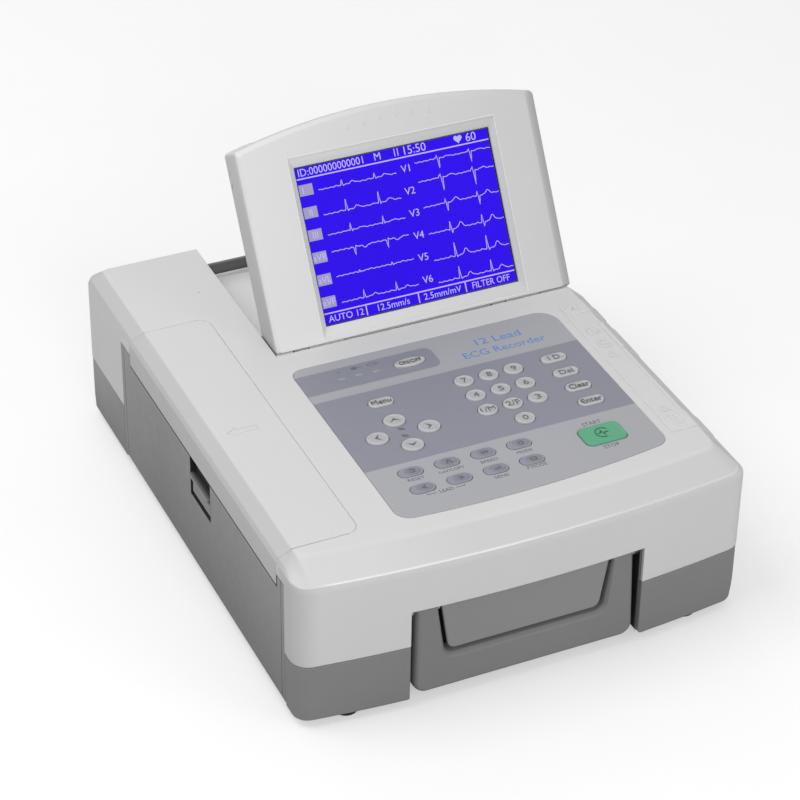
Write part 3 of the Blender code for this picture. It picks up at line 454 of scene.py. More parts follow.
# short name, material name, colour, texture, other settings
FINISHES = (
    # paint functions give shell, display, lid, base grey, liner, side and catch their painted light and
    # shade
    ("shell", "shell_plastic", SHELL, PALE, dict(paint=shell_tone)),
    ("display", "display_plastic", (0.66, 0.66, 0.657), PALE, dict(paint=display_tone)),
    # pale bead round the display frame: its lighter colour is a painted highlight
    ("highlight_bead", "display_bead_highlight", (0.74, 0.74, 0.736), (0.42, 0.20, 0.42, 0.012, 0.3), {}),
    ("lid", "lid_plastic", (0.660, 0.660, 0.657), PALE, dict(paint=door_tone)),
    ("grey", "base_plastic", grey(0.222), (0.50, 0.34, 0.45, 0.03, 0.5),
     dict(worn_and_lit=grey(0.33), paint=base_fade)),
    ("handle", "handle_plastic", grey(0.213), (0.48, 0.34, 0.45, 0.03, 0.6),
     dict(worn_and_lit=grey(0.36))),
    ("liner", "liner_plastic", grey(0.262), (0.52, 0.34, 0.45, 0.03, 0.2),
     dict(worn_and_lit=grey(0.34), paint=recess_shade)),
    ("side", "side_plastic", grey(0.262), (0.50, 0.34, 0.45, 0.03, 0.4),
     dict(worn_and_lit=grey(0.38), paint=side_fade)),
    ("catch", "catch_plastic", grey(0.255), (0.45, 0.3, 0.4, 0.03, 0.5),
     dict(worn_and_lit=grey(0.40), paint=catch_shade)),
    ("dark", "rear_plastic", (0.142, 0.142, 0.144), (0.52, 0.34, 0.45, 0.04, 0.5),
     dict(worn_and_lit=grey(0.14))),
    ("film", "panel_film", FILM_LIGHT, (0.42, 0.12, 0.6, 0.012, 0.25),
     dict(paint=panel_print, worn_and_lit=(0.5, 0.5, 0.52))),
    ("key_light", "key_rubber_light", (0.492, 0.492, 0.499), KEY, {}),
    ("key_blue", "key_rubber_blue", (0.262, 0.270, 0.318), (0.45, 0.2, 0.3, 0.02, 0.4), {}),
    # the darker dish and finger ring finishes are painted shade
    ("key_ring_shade", "key_rubber_ring_shade", (0.222, 0.230, 0.276), KEY, {}),
    ("key_dish_shade", "key_rubber_dish_shade", (0.430, 0.430, 0.437), (0.52, 0.2, 0.3, 0.02, 0.2), {}),
    ("key_green", "key_rubber_green", (0.104, 0.370, 0.218), (0.42, 0.2, 0.3, 0.02, 0.4), {}),
    ("ink", "legend_ink", (0.145, 0.145, 0.151), INK, {}),
    ("ink_soft", "label_ink", (0.092, 0.094, 0.106), INK, {}),
    ("ink_blue", "title_ink", (0.100, 0.235, 0.560), (0.5, 0.1, 0.3, 0.04, 0.0), {}),
    ("ink_green", "symbol_ink", (0.020, 0.105, 0.055), INK, {}),
    ("lamp", "lamp_lens", (0.315, 0.315, 0.31), (0.25, 0.05, 0.4, 0.03, 0.3), dict(coat=0.4)),
    ("screen", "screen_blue", (0.031, 0.008, 0.757), (0.3, 0.02, 0.3, 0.03, 0.0), LIT),
    ("mask", "screen_mask", (0.012, 0.011, 0.03), (0.3, 0.05, 0.3, 0.05, 0.0), {}),
    ("trace", "screen_trace", (0.50, 0.43, 0.95), (0.3, 0.02, 0.3, 0.02, 0.0), LIT),
    ("tab", "screen_tab", (0.36, 0.335, 0.50), (0.3, 0.02, 0.3, 0.03, 0.0),
     dict(specular=0.0, glow=0.80, dim=0.25)),
    ("lcd_back", "lcd_back_sheet", (0.45, 0.46, 0.47), (0.35, 0.2, 0.8, 0.05, 0.5), METAL),
    ("steel", "bright_steel", (0.58, 0.585, 0.59), (0.28, 0.3, 0.5, 0.05, 0.4),
     dict(metal=1.0, streak=(1, 40, 40))),
    ("screw", "screw_steel", (0.42, 0.42, 0.43), (0.32, 0.2, 0.4, 0.06, 0.6), METAL),
    ("rubber", "foot_rubber", (0.020, 0.020, 0.021), (0.72, 0.5, 0.6, 0.12, 0.5),
     dict(worn_and_lit=grey(0.05))),
    ("platen", "platen_rubber", (0.028, 0.028, 0.030), (0.62, 0.3, 0.4, 0.08, 0.3),
     dict(worn_and_lit=grey(0.05))),
    ("acetal", "gear_acetal", (0.74, 0.73, 0.68), (0.42, 0.15, 0.6, 0.02, 0.5), {}),
    ("brass", "pinion_brass", (0.72, 0.50, 0.20), (0.26, 0.2, 0.5, 0.05, 0.5), METAL),
    ("board", "solder_mask", (0.020, 0.150, 0.060), (0.32, 0.25, 1.4, 0.10, 0.4),
     dict(worn_and_lit=(0.35, 0.33, 0.16))),
    ("chip", "chip_epoxy", (0.022, 0.022, 0.024), (0.5, 0.3, 0.5, 0.10, 0.3),
     dict(worn_and_lit=grey(0.06))),
    ("tin", "tinned_lead", (0.62, 0.62, 0.60), (0.3, 0.2, 0.5, 0.05, 0.3), METAL),
    ("head", "head_glaze", (0.36, 0.31, 0.26), (0.22, 0.1, 0.8, 0.05, 0.4), dict(coat=0.5)),
    ("sheet", "supply_sheet", (0.56, 0.565, 0.57), (0.34, 0.3, 0.7, 0.06, 0.5),
     dict(metal=1.0, streak=(40, 1, 1))),
    ("wrap", "battery_wrap", (0.030, 0.075, 0.220), (0.35, 0.15, 1.2, 0.06, 0.5),
     dict(worn_and_lit=(0.10, 0.16, 0.34))),
    ("paper", "chart_paper", PAPER, (0.75, 0.2, 0.5, 0.01, 0.2), dict(paint=chart_print)),
    ("core", "paper_core", (0.42, 0.32, 0.22), (0.8, 0.5, 0.6, 0.08, 0.3), {}),
    ("wire_red", "wire_red", (0.42, 0.03, 0.03), WIRE, {}),
    ("wire_black", "wire_black", grey(0.02), WIRE, {}),
    ("ribbon", "ribbon_grey", (0.48, 0.48, 0.49), (0.5, 0.3, 0.8, 0.05, 0.0), {}),
)
MATERIALS = {
    key: finish(name, colour, texture, **others)
    for key, name, colour, texture, others in FINISHES
}


# ------------------------------------------------------------------- outlines
def fillet(points, radii, steps):
    """A closed polygon with each corner rounded to its radius."""
    out = []
    for i, point in enumerate(points):
        radius = radii[i]
        corner = Vector(point)
        if radius <= 0:
            out.append((corner.x, corner.y))
            continue
        back = (Vector(points[i - 1]) - corner).normalized()
        ahead = (Vector(points[(i + 1) % len(points)]) - corner).normalized()
        half = back.angle(ahead) / 2
        reach = radius / math.tan(half)
        centre = corner + (back + ahead).normalized() * (radius / math.sin(half))
        start, end = corner + back * reach - centre, corner + ahead * reach - centre
        sweep = start.angle_signed(end)
        for k in range(steps + 1):
            turn = -sweep * k / steps
            cosine, sine = math.cos(turn), math.sin(turn)
            out.append(
                (
                    centre.x + start.x * cosine - start.y * sine,
                    centre.y + start.x * sine + start.y * cosine,
                )
            )
    return out


def rect(x0, x1, y0, y1):
    return [(x0, y0), (x1, y0), (x1, y1), (x0, y1)]


def round_rect(x0, x1, y0, y1, radius, steps):
    return fillet([(x0, y1), (x0, y0), (x1, y0), (x1, y1)], [radius] * 4, steps)


def circle(x, y, radius, count):
    return [
        (
            x + radius * math.cos(2 * math.pi * k / count),
            y + radius * math.sin(2 * math.pi * k / count),
        )
        for k in range(count)
    ]


def placed(points, x, y, upright=False):
    """An outline moved to a centre; upright swaps its two directions."""
    if upright:
        points = [(second, first) for first, second in points]
    return [(x + across, y + along) for across, along in points]


def stadium(width, height, steps=8):
    """Outline by growth: a bar with round ends."""

    def outline(grow):
        half_w, half_h = width / 2 + grow, height / 2 + grow
        return round_rect(-half_w, half_w, -half_h, half_h, half_h * 0.999, steps)

    return outline


def oval(width, height, count=44):
    """Outline by growth: an ellipse."""

    def outline(grow):
        return [
            (
                (width / 2 + grow) * math.cos(2 * math.pi * k / count),
                (height / 2 + grow) * math.sin(2 * math.pi * k / count),
            )
            for k in range(count)
        ]

    return outline


def rounded_square(width, height, radius):
    """Outline by growth: a rectangle with rounded corners."""

    def outline(grow):
        half_w, half_h = width / 2 + grow, height / 2 + grow
        return round_rect(-half_w, half_w, -half_h, half_h, radius + grow, 7)

    return outline


# --------------------------------------------------------------------- solids
def in_slot(solid, slot):
    for face in solid.faces:
        face.material_index = slot
    return solid


def loft(rings, slot=0):
    """A closed solid through rings that all hold the same number of points."""
    solid = bmesh.new()
    rows = [[solid.verts.new(point) for point in ring] for ring in rings]
    count = len(rows[0])
    for low, high in zip(rows, rows[1:]):
        for i in range(count):
            j = (i + 1) % count
            solid.faces.new((low[i], low[j], high[j], high[i]))
    solid.faces.new(list(reversed(rows[0])))
    solid.faces.new(rows[-1])
    return in_slot(solid, slot)


def at(axis, first, second, level):
    return {
        "X": (level, first, second),
        "Y": (first, level, second),
        "Z": (first, second, level),
    }[axis]


def outline_rings(axis, outline, stations):
    """Rings of outline(value) at each (level, value) station along the axis."""
    return [[at(axis, *point, level) for point in outline(value)] for level, value in stations]


def swept(axis, outline, stations, slot=0):
    return loft(outline_rings(axis, outline, stations), slot)


def scaled_rings(points, x, y, stations):
    """Rings of one plan outline at each (height, scale) station."""
    return [
        [(x + across * scale, y + along * scale, z) for across, along in points]
        for z, scale in stations
    ]


def prism(axis, points, low, high, slot=0):
    return loft([[at(axis, *point, level) for point in points] for level in (low, high)], slot)


def box(x0, x1, y0, y1, z0, z1, slot=0):
    return prism("Z", rect(x0, x1, y0, y1), z0, z1, slot)


def rod(axis, first, second, radius, low, high, count=32):
    return prism(axis, circle(first, second, radius, count), low, high)


def turned(axis, first, second, steps, count=40, slot=0):
    """A turned piece: steps are (position along the axis, radius)."""
    return swept(axis, lambda radius: circle(first, second, radius, count), steps, slot)


def eased(levels, reaches, steps=3):
    """Rounds the corners of a run of number tuples, each by its own reach."""
    rows = [np.array(level, float) for level in levels]
    out = [rows[0]]
    for i in range(1, len(rows) - 1):
        before, here, after = rows[i - 1], rows[i], rows[i + 1]
        back = np.linalg.norm((before - here)[:4])
        ahead = np.linalg.norm((after - here)[:4])
        reach_back, reach_ahead = min(reaches[i], 0.45 * back), min(reaches[i], 0.45 * ahead)
        if reach_back <= 0:
            out.append(here)
            continue
        start = here + (before - here) * reach_back / back
        end = here + (after - here) * reach_ahead / ahead
        for k in range(steps + 1):
            t = k / steps
            out.append((1 - t) ** 2 * start + 2 * t * (1 - t) * here + t * t * end)
    out.append(rows[-1])
    return [tuple(float(number) for number in row) for row in out]


def rim(top, drop, inset, steps):
    """Stations (height, growth) of a quarter-round upper rim."""
    turns = [math.pi / 2 * k / steps for k in range(steps + 1)]
    return [(top - drop * (1 - math.sin(a)), -inset * (1 - math.cos(a))) for a in turns]


def padded(outline, low, high, round_low, round_high, steps=3, slot=0):
    """A prism along Z whose outline is outline(grow), with rounded rims."""
    stations = [(low, 0.0)]
    if round_low:
        turns = [math.pi / 2 * k / steps for k in range(steps + 1)]
        stations = [
            (low + round_low * (1 - math.cos(a)), -round_low * (1 - math.sin(a))) for a in turns
        ]
    stations += rim(high, round_high, round_high, steps)
    return swept("Z", outline, stations, slot)


def ribbon(points, width, low, high, slot=0, closed=False):
    """A flat strip of even width along plan points, from height low to high."""
    solid = bmesh.new()
    path = [Vector(point) for point in points]
    count = len(path)
    rows = []
    for i, point in enumerate(path):
        if closed:
            before, after = path[i - 1], path[(i + 1) % count]
        else:
            before, after = path[max(i - 1, 0)], path[min(i + 1, count - 1)]
        came = (point - before).normalized() if (point - before).length > 1e-9 else None
        goes = (after - point).normalized() if (after - point).length > 1e-9 else None
        came, goes = came or goes, goes or came
        square = Vector((-came.y, came.x))
        mitre = square + Vector((-goes.y, goes.x))
        mitre = mitre.normalized() if mitre.length > 0.3 else square
        grow = min(2.2, 1 / max(0.3, mitre.dot(square)))
        left = point + mitre * width / 2 * grow
        right = point - mitre * width / 2 * grow
        corners = ((right, low), (left, low), (left, high), (right, high))
        rows.append([solid.verts.new((side.x, side.y, z)) for side, z in corners])
    pairs = list(zip(rows, rows[1:]))
    if closed:
        pairs.append((rows[-1], rows[0]))
    for near, far in pairs:
        for k in range(4):
            j = (k + 1) % 4
            solid.faces.new((near[k], near[j], far[j], far[k]))
    if not closed:
        solid.faces.new(list(reversed(rows[0])))
        solid.faces.new(rows[-1])
    return in_slot(solid, slot)


def strokes(paths, width, low, high, slot=0, closed=False):
    return [ribbon(path, width, low, high, slot, closed) for path in paths]


def tube(points, radius, count, slot=0):
    """A round wire along a path in space."""
    rings = []
    side = Vector((1, 0, 0))
    last = len(points) - 1
    for i, point in enumerate(points):
        along = (points[min(i + 1, last)] - points[max(i - 1, 0)]).normalized()
        if abs(along.dot(side)) < 0.99:
            side = (side - along * side.dot(along)).normalized()
        else:
            side = Vector((0, 1, 0))
        up = along.cross(side)
        turns = [2 * math.pi * k / count for k in range(count)]
        rings.append([point + (side * math.cos(a) + up * math.sin(a)) * radius for a in turns])
    return loft(rings, slot)


def smooth_path(points, steps):
    """A smooth curve through the points, with steps segments between each pair."""
    out = []
    last = len(points) - 1
    for i in range(last):
        p0, p1, p2, p3 = (points[min(max(i + j, 0), last)] for j in (-1, 0, 1, 2))
        for k in range(steps):
            t = k / steps
            square = (2 * p0 - 5 * p1 + 4 * p2 - p3) * t * t
            cube = (3 * p1 - p0 - 3 * p2 + p3) * t ** 3
            out.append(0.5 * ((2 * p1) + (p2 - p0) * t + square + cube))
    out.append(points[-1])
    return out


def lettering(text, size, x, y, low, high, slot=0, wide=1.0, fit=None):
    """Flat raised lettering centred on a plan point, drawn to the width fit if given."""
    curve = bpy.data.curves.new("legend", "FONT")
    curve.body = text
    curve.size = size * 1.38
    curve.align_x, curve.align_y = "CENTER", "CENTER"
    curve.extrude = (high - low) / 2
    curve.resolution_u = 3
    obj = bpy.data.objects.new("legend", curve)
    bpy.context.scene.collection.objects.link(obj)
    graph = bpy.context.evaluated_depsgraph_get()
    mesh = bpy.data.meshes.new_from_object(obj.evaluated_get(graph))
    solid = bmesh.new()
    solid.from_mesh(mesh)
    bpy.data.objects.remove(obj)
    bpy.data.curves.remove(curve)
    bpy.data.meshes.remove(mesh)
    bmesh.ops.remove_doubles(solid, verts=solid.verts, dist=1e-4)
    xs = [vert.co.x for vert in solid.verts]
    ys = [vert.co.y for vert in solid.verts]
    middle = Vector(((min(xs) + max(xs)) / 2, (min(ys) + max(ys)) / 2, 0))
    if fit:
        wide = fit / (max(xs) - min(xs))
    solid.transform(
        Matrix.Translation((x, y, (low + high) / 2))
        @ Matrix.Diagonal((wide, 1, 1, 1))
        @ Matrix.Translation(-middle)
    )
    return in_slot(solid, slot)


def together(parts):
    """One mesh from several; each stays its own closed body."""
    whole = bmesh.new()
    for part in parts:
        mesh = bpy.data.meshes.new("part")
        part.to_mesh(mesh)
        whole.from_mesh(mesh)
        bpy.data.meshes.remove(mesh)
        part.free()
    return whole


def cut(*tools):
    return [("DIFFERENCE", tool) for tool in tools]


def join(*tools):
    return [("UNION", tool) for tool in tools]


def temporary(solid, name):
    bmesh.ops.recalc_face_normals(solid, faces=solid.faces)
    mesh = bpy.data.meshes.new(name)
    solid.to_mesh(mesh)
    solid.free()
    obj = bpy.data.objects.new(name, mesh)
    bpy.context.scene.collection.objects.link(obj)
    return obj


def shaped(solid, changes):
    """A solid after a run of cuts and joins with other closed solids."""
    obj = temporary(solid, "blank")
    helpers = []
    for operation, tool in changes:
        helper = temporary(tool, "tool")
        helpers.append(helper)
        change = obj.modifiers.new("shape", "BOOLEAN")
        change.operation = operation
        change.solver = "EXACT"
        change.object = helper
    graph = bpy.context.evaluated_depsgraph_get()
    mesh = bpy.data.meshes.new_from_object(obj.evaluated_get(graph))
    out = bmesh.new()
    out.from_mesh(mesh)
    bpy.data.meshes.remove(mesh)
    for helper in helpers + [obj]:
        data = helper.data
        bpy.data.objects.remove(helper)
        bpy.data.meshes.remove(data)
    bmesh.ops.remove_doubles(out, verts=out.verts, dist=0.002)
    bmesh.ops.dissolve_degenerate(out, edges=out.edges, dist=0.002)
    bmesh.ops.dissolve_limit(
        out, angle_limit=math.radians(0.4), verts=out.verts, edges=out.edges, delimit=set()
    )
    return out


def round_edges(obj, width, segments, angle):
    change = obj.modifiers.new("edges", "BEVEL")
    change.width = width * MM
    change.segments = segments
    change.limit_method = "ANGLE"
    change.angle_limit = math.radians(angle)
    change.use_clamp_overlap = False
    change.miter_outer = "MITER_SHARP"
    change.loop_slide = True
    change.harden_normals = False


def piece(
    name,
    solid,
    finishes,
    node=None,
    slot=None,
    rides="cabinet",
    smooth=32.0,
    transform=None,
    normals=True,
    edge=0.0,
    edge_steps=2,
    edge_angle=30.0,
):
    """One finished piece, riding on its body; finishes are short names in slot order.

    node is the CAD piece it replaces; edge is the width of its rounded edges.
    """
    if transform is not None:
        solid.transform(transform)
    bmesh.ops.recalc_face_normals(solid, faces=solid.faces)
    for vert in solid.verts:
        vert.co *= MM
    mesh = bpy.data.meshes.new(name)
    solid.to_mesh(mesh)
    solid.free()
    obj = bpy.data.objects.new(name, mesh)
    bpy.context.scene.collection.objects.link(obj)
    for key in finishes.split():
        mesh.materials.append(MATERIALS[key])
    mesh.shade_smooth()
    mesh.set_sharp_from_angle(angle=math.radians(smooth))
    obj["smooth"] = smooth
    obj["settle"] = bool(normals)
    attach(obj, rides)
    if node:
        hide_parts(node)
    if edge:
        round_edges(obj, edge, edge_steps, edge_angle)
    return obj


def settle(obj):
    """Face-weighted normals, so that flat faces stay flat beside their rounded edges."""
    change = obj.modifiers.new("normals", "WEIGHTED_NORMAL")
    change.keep_sharp = True
    change.weight = 90


def screw(axis, first, second, level, sign, radius):
    """A pan-head screw with a cross recess; its head faces along sign on the axis."""
    steps = [
        (level - sign * 3.0, radius * 0.55),
        (level - sign * 0.1, radius * 0.55),
        (level - sign * 0.1, radius),
        (level + sign * 0.5, radius),
        (level + sign * 0.9, radius * 0.82),
        (level + sign * 1.05, radius * 0.5),
    ]
    arm, half = radius * 0.62, radius * 0.16
    low, high = sorted((level + sign * 0.3, level + sign * 3.0))
    slots = [
        prism(axis, rect(first - a, first + a, second - b, second + b), low, high)
        for a, b in ((arm, half), (half, arm))
    ]
    return shaped(turned(axis, first, second, steps, 28), cut(*slots))


# ------------------------------------------------------------ cabinet outlines
def cabinet_ring(z, left, right, front, rear, r_front, r_rear):
    """The cabinet's plan at one height, drawn in from each side by its inset."""
    x0, x1, y1 = -HALF_W + left, HALF_W - right, REAR_Y - rear

    def front_y(x):
        return FRONT_Y + front + x * x / FRONT_BOW

    bowed = [-100 + 200 * k / 12 for k in range(13)]
    points = [(x, front_y(x)) for x in (x0, *bowed, x1)]
    points = [(x0, y1)] + points + [(x1, y1)]
    radii = [r_rear, r_front] + [0] * len(bowed) + [r_front, r_rear]
    return [(x, y, z) for x, y in fillet(points, radii, 8)]


# rows of cabinet_ring arguments up the outside of the top shell
TOP_LEVELS = eased(
    [
        (Z_PART, 0.45, 0.45, 0.45, 0.45, 9.85, 5.55),
        (Z_PART + 0.45, 0, 0, 0, 0, 10.3, 6.0),
        (89.7, 0, 0, 0, 0, 10.3, 6.0),
        (93.1, 0.2, 3.7, 0.6, 0.1, 10.0, 5.8),
        (95.9, 1.6, 6.8, 9.8, 0.5, 10.0, 5.4),
        (Z_TOP, 9.3, 10.6, 21.1, 3.0, 8.0, 4.6),
        (Z_TOP, 12.3, 13.6, 24.1, 6.0, 5.0, 3.0),
    ],
    [0, 0, 1.6, 0.5, 1.6, 1.3, 0],
)


def panel_outline(grow):
    """The key panel's outline, drawn out by grow; its front edge is bowed."""
    x0, x1, y1 = PANEL[0] - grow, PANEL[1] + grow, PANEL[3] + grow

    def front_y(x):
        return PANEL[2] - grow + (x + 3.0) ** 2 / PANEL_BOW

    bowed = [-45 + 126 * k / 10 for k in range(11)]
    points = [(x, front_y(x)) for x in (x0, *bowed, x1)]
    points = [(x0, y1)] + points + [(x1, y1)]
    radii = [max(7.0 + grow, 2.0), 9.0 + grow] + [0] * len(bowed) + [9.0 + grow, 12.0 + grow]
    return fillet(points, radii, 8)


def door_mouth():
    """The opening for the paper door, a seam wider than the door, open to the left."""
    seam = 0.6
    front, rear, right = LID_Y0 - seam, LID_Y1 + seam, LID_X1 + seam
    points = [(-160, front), (right, front), (right, rear), (-160, rear)]
    return fillet(points, [0, 6.4 + seam, 6.4 + seam, 0], 10)


def side_room(z0, z1):
    """Room for the side panel in the left wall."""
    return box(-150, -128.95, SIDE_Y0, SIDE_Y1, z0, z1)


def liner_room(z0, z1):
    """Room for the handle recess moulding behind the front wall."""
    return box(REC_X0 - 3.4, REC_X1 + 3.4, -159.3, -144.9, z0, z1)


# ------------------------------------------------------------------- top shell
def make_top():
    inner = [
        (Z_TOP - 2.6, 10.8, 12.1, 22.6, 4.5, 6.0, 3.2),
        (92.2, 2.6, 6.8, 5.6, 2.7, 7.5, 3.6),
        (88.9, 2.6, 2.6, 2.6, 2.6, 7.7, 3.6),
        (Z_PART, 2.6, 2.6, 2.6, 2.6, 7.7, 3.6),
    ]
    rings = [cabinet_ring(*level) for level in inner + TOP_LEVELS]
    # the sunk field behind the display: floor and walls, then its hollow and rear lip
    well_x0, well_y0, well_z = DISP_X0 - 0.9, 35.5, 76.2
    wall, well_x1 = 2.6, 131.4
    section = [
        (well_x0 - wall, well_z - wall),
        (well_x1, well_z - wall),
        (well_x1, 89.4),
        (121.2, Z_TOP - 0.4),
        (well_x0 - wall, Z_TOP - 0.4),
    ]
    lip = [
        (159.5, well_z - 1.0), (160.6, well_z - 1.0), (160.6, 78.8), (160.0, 78.8), (159.5, 78.4),
    ]
    changes = join(prism("Y", section, well_y0 - wall, 160.6))
    changes += cut(box(well_x0, 160, well_y0, 190, well_z, 130))
    changes += join(prism("X", lip, well_x0, well_x1))
    for x0, x1 in CASE_KNUCKLES:
        changes += join(
            rod("X", HINGE_Y, HINGE_Z, 2.2, x0, x1, 24),
            box(x0 + 0.2, x1 - 0.2, well_y0 - 1.0, HINGE_Y, HINGE_Z - 1.9, HINGE_Z + 1.5),
        )
    changes += cut(
        rod("X", HINGE_Y, HINGE_Z, PIN_BORE, -60, 120, 16),
        prism("Z", door_mouth(), 60, 130),
        box(-120.0, LID_X1 + 1.9, LID_Y0 - 1.9, LID_Y1 + 1.9, 60, 98.6),
        side_room(20, SIDE_Z1),
        box(REC_X0, REC_X1, -190, -158.0, 20, REC_Z1),
        liner_room(20, REC_Z1 + 3.4),
        # rear panel opening
        box(-62.4, 124.4, 160.5, 180, 20, 90),
        # seat and opening of the key panel
        prism("Z", panel_outline(0.12), PANEL_TOP - 1.3, 130),
        prism("Z", panel_outline(-4.0), 80, 130),
        # patient socket opening
        box(120, 150, -82.4, -41.6, 54.6, 69.4),
        # small round hole left of the display
        rod("Z", -78.5, 115.2, 0.6, 98.2, 110, 16),
    )
    solid = shaped(loft(rings), changes)
    top = piece("top_shell_moulding", solid, "shell", "top_shell", "shell_light", edge=0.35)
    flat = top.modifiers.new("triangles", "TRIANGULATE")
    flat.min_vertices = 5


def make_slot_seal():
    """Black strip in the slot at the display's left end, a painted shadow in the gap."""
    shadow_strip = box(DISP_X0 - 0.86, DISP_X0 - 0.32, 35.7, 58.5, 88.0, Z_TOP - 0.45)
    piece("display_slot_shadow_strip", shadow_strip, "rubber", slot="rubber")


def right_edge(grow, inner):
    """Cross-section (x, z) of the top's right edge in from x = inner, drawn out by grow."""
    line = [(HALF_W - level[2], level[0]) for level in TOP_LEVELS if level[0] > 88.0]
    out = []
    for i, (x, z) in enumerate(line):
        before = Vector(line[max(i - 1, 0)])
        after = Vector(line[min(i + 1, len(line) - 1)])
        along = (after - before).normalized()
        normal = Vector((along.y, -along.x))
        out.append((x + normal.x * grow, z + normal.y * grow))
    out = [(x, z) for x, z in out if x > inner]
    out.append((inner, Z_TOP + grow))
    return out


def make_edge_marks():
    """Raised pads, symbols and lines along the right edge of the top."""
    pad_h = 0.50
    parts = []
    for y0, y1, inner in ((7.0, 19.5, 106.2), (-33.0, -5.0, 119.0), (-117.5, -101.0, 105.2)):
        section = right_edge(pad_h, inner) + list(reversed(right_edge(-0.5, inner)))
        pad = prism("Y", section, y0, y1)
        ends = [e for e in pad.edges if abs(e.verts[0].co.y - e.verts[1].co.y) < 1e-6]
        bmesh.ops.bevel(pad, geom=ends, offset=0.2, segments=2, affect="EDGES", profile=0.5)
        parts.append(pad)
    pad_top = Z_TOP + pad_h
    on_face = (Z_TOP - 0.3, Z_TOP + 0.34)
    on_pad = (pad_top - 0.5, pad_top + 0.35)
    symbol = (Z_TOP - 0.4, Z_TOP + 0.46)
    triangles = [
        [(109.0, y - 2.6), (115.2, y - 2.6), (112.1, y + 2.8)] for y in (-37.6, -95.7)
    ]
    # heights, width, closed, paths
    marks = (
        (on_face, 0.8, False, [[(105.9, -101.5), (105.9, 7.5)]]),
        (on_face, 0.7, False, [[(119.6, -101.5), (119.6, -33.2)]]),
        (on_pad, 0.7, True, [round_rect(108.6, 116.4, 9.8, 15.6, 1.2, 4)]),
        (on_pad, 0.7, False, [[(111.0, 14.4), (114.0, 11.0)], [(111.0, 11.0), (114.0, 14.4)]]),
        (symbol, 0.75, True, [circle(112.7, y, 3.6, 28) for y in (-11.8, -26.4)]),
        (symbol, 0.75, False,
         [[(112.7, -10.4), (112.7, -14.2)], [(110.6, -26.4), (114.8, -26.4)]]),
        (symbol, 0.75, True, triangles),
        (on_pad, 0.7, True, [round_rect(107.8, 116.6, -111.8, -104.4, 0.8, 3)]),
        (on_pad, 0.7, False, [[(110.0, y), (114.4, y)] for y in (-106.6, -109.4)]),
    )
    for (low, high), width, closed, paths in marks:
        parts += strokes(paths, width, low, high, closed=closed)
    piece("edge_pads_and_symbols", together(parts), "shell", slot="shell_light")


# ------------------------------------------------------------------------ base
def recess_mouth():
    """The recess opening (x, z): straight sides that flare out at the bottom edge."""
    points = [(REC_X0, 60), (REC_X1, 60)]
    for k in range(9):
        a = math.pi / 2 * k / 8
        points.append((REC_X1 + 2.8 * (1 - math.cos(a)), FOOT_H + 3.0 * (1 - math.sin(a))))
    points += [(REC_X1 + 2.8, -2), (REC_X0 - 1.4, -2)]
    for k in range(9):
        a = math.pi / 2 * (1 - k / 8)
        points.append((REC_X0 - 1.4 * (1 - math.cos(a)), FOOT_H + 1.6 * (1 - math.sin(a))))
    return points


def make_base():
    # rows of cabinet_ring arguments, inside and then outside
    inner = [
        (FOOT_H + 2.8, 5.4, 5.4, 5.4, 5.4, 5.5, 3.0),
        (Z_PART - 0.3, 2.9, 2.9, 2.9, 2.9, 7.5, 3.4),
    ]
    outer = eased(
        [
            (Z_PART - 0.3, 0.7, 0.7, 0.7, 0.7, 9.8, 5.5),
            (Z_PART - 0.75, 0.2, 0.2, 0.2, 0.2, 10.3, 6.0),
            (15.0, 0.2, 0.2, 0.2, 0.2, 10.0, 6.0),
            (FOOT_H, 0.7, 1.6, 0.5, 0.7, 9.2, 5.4),
            (FOOT_H, 4.4, 5.4, 4.2, 4.4, 6.6, 3.4),
        ],
        [0, 0, 5.0, 1.5, 0],
        4,
    )
    rings = [cabinet_ring(*level) for level in inner + outer]
    # cross walls at both ends of the paper roll, the wall right of it and the roll's stubs
    wall = [(-128.8, 7.0), (-79.4, 7.0), (-79.4, 96.3), (-118.0, 96.3), (-128.8, 90.2)]
    changes = join(
        prism("Y", wall, *WALL_FRONT),
        prism("Y", wall, *WALL_REAR),
        box(-82.0, -79.4, WALL_FRONT[0] + 0.7, WALL_REAR[1] - 0.7, 7.2, 78.0),
        rod("Y", *ROLL, 6.2, WALL_FRONT[1] - 1.0, -121.0),
        rod("Y", *ROLL, 6.2, 79.0, WALL_REAR[0] + 1.0),
    )
    # posts up to the main board
    for x, y in ((-60, -130), (112, -40), (-60, 20), (112, 20)):
        changes += join(rod("Z", x, y, 3.2, 7.0, 13.7, 20))
    changes += cut(
        side_room(-2, 60),
        prism("Y", recess_mouth(), -190, -158.0),
        liner_room(-2, 60),
        # rear panel opening
        box(-62.4, 124.4, 159.6, 180, 11.6, 60),
        # battery opening
        box(30.0, 112.0, -132.0, -62.0, -2, 12),
        rod("Y", *PLATEN, 2.9, -140, 100, 24),
        # door pin bore, open upwards
        rod("Y", *LID_PIN, PIN_BORE, -140, 100, 16),
        box(LID_PIN[0] - PIN_BORE, LID_PIN[0] + PIN_BORE, -140, 100, LID_PIN[1], 100),
    )
    # shallow grooves under the cabinet
    for k in range(5):
        y = -30.0 + 24.0 * k
        changes += cut(box(-60.0, 110.0, y, y + 3.0, 0, FOOT_H + 0.8))
    for x, y in BASE_SCREWS:
        changes += cut(rod("Z", x, y, 4.0, 0, FOOT_H + 1.6, 28))
    solid = shaped(loft(rings), changes)
    piece("base_moulding", solid, "grey", "base_shell", "case_grey", edge=0.35)


